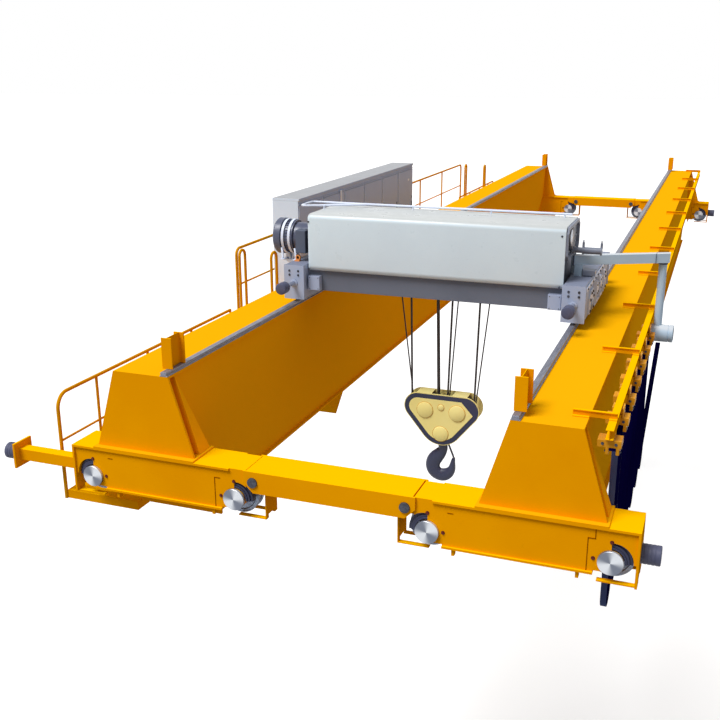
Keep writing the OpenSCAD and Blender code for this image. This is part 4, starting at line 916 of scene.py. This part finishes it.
def forged_hook():
    """The hook as one forging that swells through its back and thins to its tip, with a latch."""
    spine = [  # x, z, half width, half thickness
        (0.003, -0.545, 0.056, 0.046), (0.006, -0.605, 0.058, 0.047), (-0.022, -0.66, 0.072, 0.05),
        (-0.066, -0.715, 0.085, 0.05), (-0.1, -0.765, 0.088, 0.05), (-0.115, -0.82, 0.088, 0.05),
        (-0.108, -0.875, 0.086, 0.05), (-0.075, -0.92, 0.084, 0.05), (-0.022, -0.945, 0.08, 0.05),
        (0.035, -0.938, 0.078, 0.05), (0.085, -0.905, 0.066, 0.049), (0.116, -0.86, 0.05, 0.046),
        (0.128, -0.81, 0.038, 0.04), (0.133, -0.765, 0.029, 0.032), (0.14, -0.725, 0.022, 0.024),
        (0.15, -0.703, 0.012, 0.014)]
    steps, tip = 5, (0.006, 0.008)
    rows = []
    for i in range(len(spine) - 1):
        around = [spine[max(0, min(len(spine) - 1, j))] for j in range(i - 1, i + 3)]
        rows += [[smooth(*values, s / steps) for values in zip(*around)] for s in range(steps)]
    rows.append((*spine[-1][:2], *tip))
    hook = Shape().tube([(HOOK_X + x, HOOK_Y, z) for x, z, _, _ in rows], [tuple(row[2:]) for row in rows], 28)
    hook.turned([(-0.54, 0.048), (-0.47, 0.048), (-0.46, 0.034), (-0.345, 0.034), (-0.345, 0.054),
                 (-0.315, 0.054)], (HOOK_X, HOOK_Y, 0), Z, 32)
    hook.place("hook_forging", "hook_body", HOOK, sharp=50, replaces=("hook",))
    latch = Shape()
    low, high = box_of("hook_latch")
    latch.tube([(high.x - 0.075, HOOK_Y, high.z - 0.01), (high.x - 0.055, HOOK_Y, high.z - 0.05),
                (high.x - 0.008, HOOK_Y, low.z + 0.012), (high.x - 0.002, HOOK_Y, low.z - 0.006)],
               [(0.011, 0.017)] * 4, 8)
    pin_x, pin_z, pin_half = high.x - 0.078, high.z - 0.004, 0.05
    latch.rod((pin_x, HOOK_Y - pin_half, pin_z), (pin_x, HOOK_Y + pin_half, pin_z), 0.008, 12)
    latch.place("latch_plate", "hook_body", DARK, replaces=("hook_latch",))


def ropes():
    """Eight straight falls, from the block's sheaves up to the trolley."""
    rows = (  # y, height of the top, radius, and each fall's x and lean
        (-0.035, 1.885, 0.012, ((-0.375, -0.04), (-0.055, -0.05), (0.055, 0.05), (0.375, 0.05))),
        (0.035, 1.3543, 0.008, ((-0.375, -0.18), (-0.055, -0.04), (0.055, 0.09), (0.375, 0.14))))
    falls = [(x, lean, y, top, radius) for y, top, radius, row in rows for x, lean in row]
    for i, (x, lean, y, top, radius) in enumerate(falls):
        low = Vector((HOOK_X + x, HOOK_Y + y, SHEAVE_Z))
        high = Vector((HOOK_X + x + lean, HOOK_Y + y, top))
        fall = Shape().rod(low, high, radius, 16).object(f"rope_fall_{i + 1}", ROPE)
        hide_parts("hoist_ropes")
        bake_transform(fall)


# -------- studio

def studio():
    """A pale floor far under the crane, a soft lamp, even light all round, and the camera."""
    scene = bpy.context.scene
    scene.view_settings.view_transform = "Standard"
    mesh = bpy.data.meshes.new("studio_floor")
    reach, level = 300.0, -7.6
    corners = ((-reach, -reach), (reach, -reach), (reach, reach), (-reach, reach))
    mesh.from_pydata([(x, y, level) for x, y in corners], [], [(0, 1, 2, 3)])
    floor = bpy.data.objects.new("studio_floor", mesh)
    scene.collection.objects.link(floor)
    n = Finish("studio_floor")
    seen = n.looked_at()
    lighting, shown, glow = (0.27, 0.27, 0.27, 1), (0.8, 0.8, 0.8, 1), 0.3
    n.use(Base_Color=n.mix(seen, lighting, shown), Roughness=0.9, Specular_IOR_Level=0.1)
    emission = n.add("ShaderNodeEmission", {"Strength": n.math("MULTIPLY", seen, glow)})
    added = n.add("ShaderNodeAddShader", {0: n.shader.outputs[0], 1: emission.outputs[0]})
    n.feed(n.tree.nodes["Material Output"].inputs["Surface"], added.outputs[0])
    floor.data.materials.append(n.material)

    world = bpy.data.worlds.new("studio_world")
    scene.world = world
    world.use_nodes = True
    n = Nodes(world.node_tree)
    background = n.tree.nodes["Background"].inputs
    lighting, shown = 0.38, 1.0
    background["Color"].default_value = (1, 1, 1, 1)
    n.feed(background["Strength"], n.between(n.looked_at(), 0, 1, lighting, shown))

    lamp = bpy.data.lights.new("key", "SUN")
    lamp.energy = 3.2
    lamp.angle = math.radians(28)
    light = bpy.data.objects.new("key", lamp)
    light.rotation_euler = Vector((-0.3, -0.42, 0.85)).to_track_quat("Z", "Y").to_euler()
    scene.collection.objects.link(light)

    place_camera(Vector((2.858, -16.19, 3.815)), yaw=20.696, pitch=17.273, roll=-0.209, lens=47.84)


def place_camera(eye, yaw, pitch, roll, lens):
    """Aims the camera: yaw turns it left of +Y, pitch tips it down, roll turns it about its line of sight."""
    camera = bpy.data.objects.new("camera", bpy.data.cameras.new("camera"))
    camera.data.lens, camera.data.sensor_width, camera.data.clip_end = lens, 36, 1000
    pose = Matrix.Translation(eye)
    for degrees, axis in ((yaw, "Z"), (90 - pitch, "X"), (roll, "Z")):
        pose = pose @ Matrix.Rotation(math.radians(degrees), 4, axis)
    camera.matrix_world = pose
    bpy.context.scene.collection.objects.link(camera)
    bpy.context.scene.camera = camera


for node, thing in nodes.items():
    thing.data.materials.clear()
    thing.data.materials.append(finish_of(node))
for node in ("girder_left", "girder_right", "end_stops", "carriages_near", "carriages_far", "link_beams",
             "link_pins", "trolley_carriages", "cross_beams", "walkway_floor", "walkway_brackets", "platforms",
             "platform_beams", "buffer_arms", "wheel_guards", "trolley_rails", "drum_brackets"):
    dress(node)
for node in ("festoon_brackets", "festoon_track"):  # plates too thin for the usual bevel
    dress(node, 0.0015)
for node in ("walkway_handrail", "platform_handrails", "ladders", "rope_drum"):
    dress(node, 0)
runway_wheels()
wheel_bays()
bridge_buffers()
trolley_wheels()
trolley_ends()
carriage_sides()
hoist_cover()
cover_frame()
hoist_motor()
small_boxes()
gear_end()
tow_arm()
cabinets()
festoon()
carriers()
hook_block()
forged_hook()
ropes()
studio()
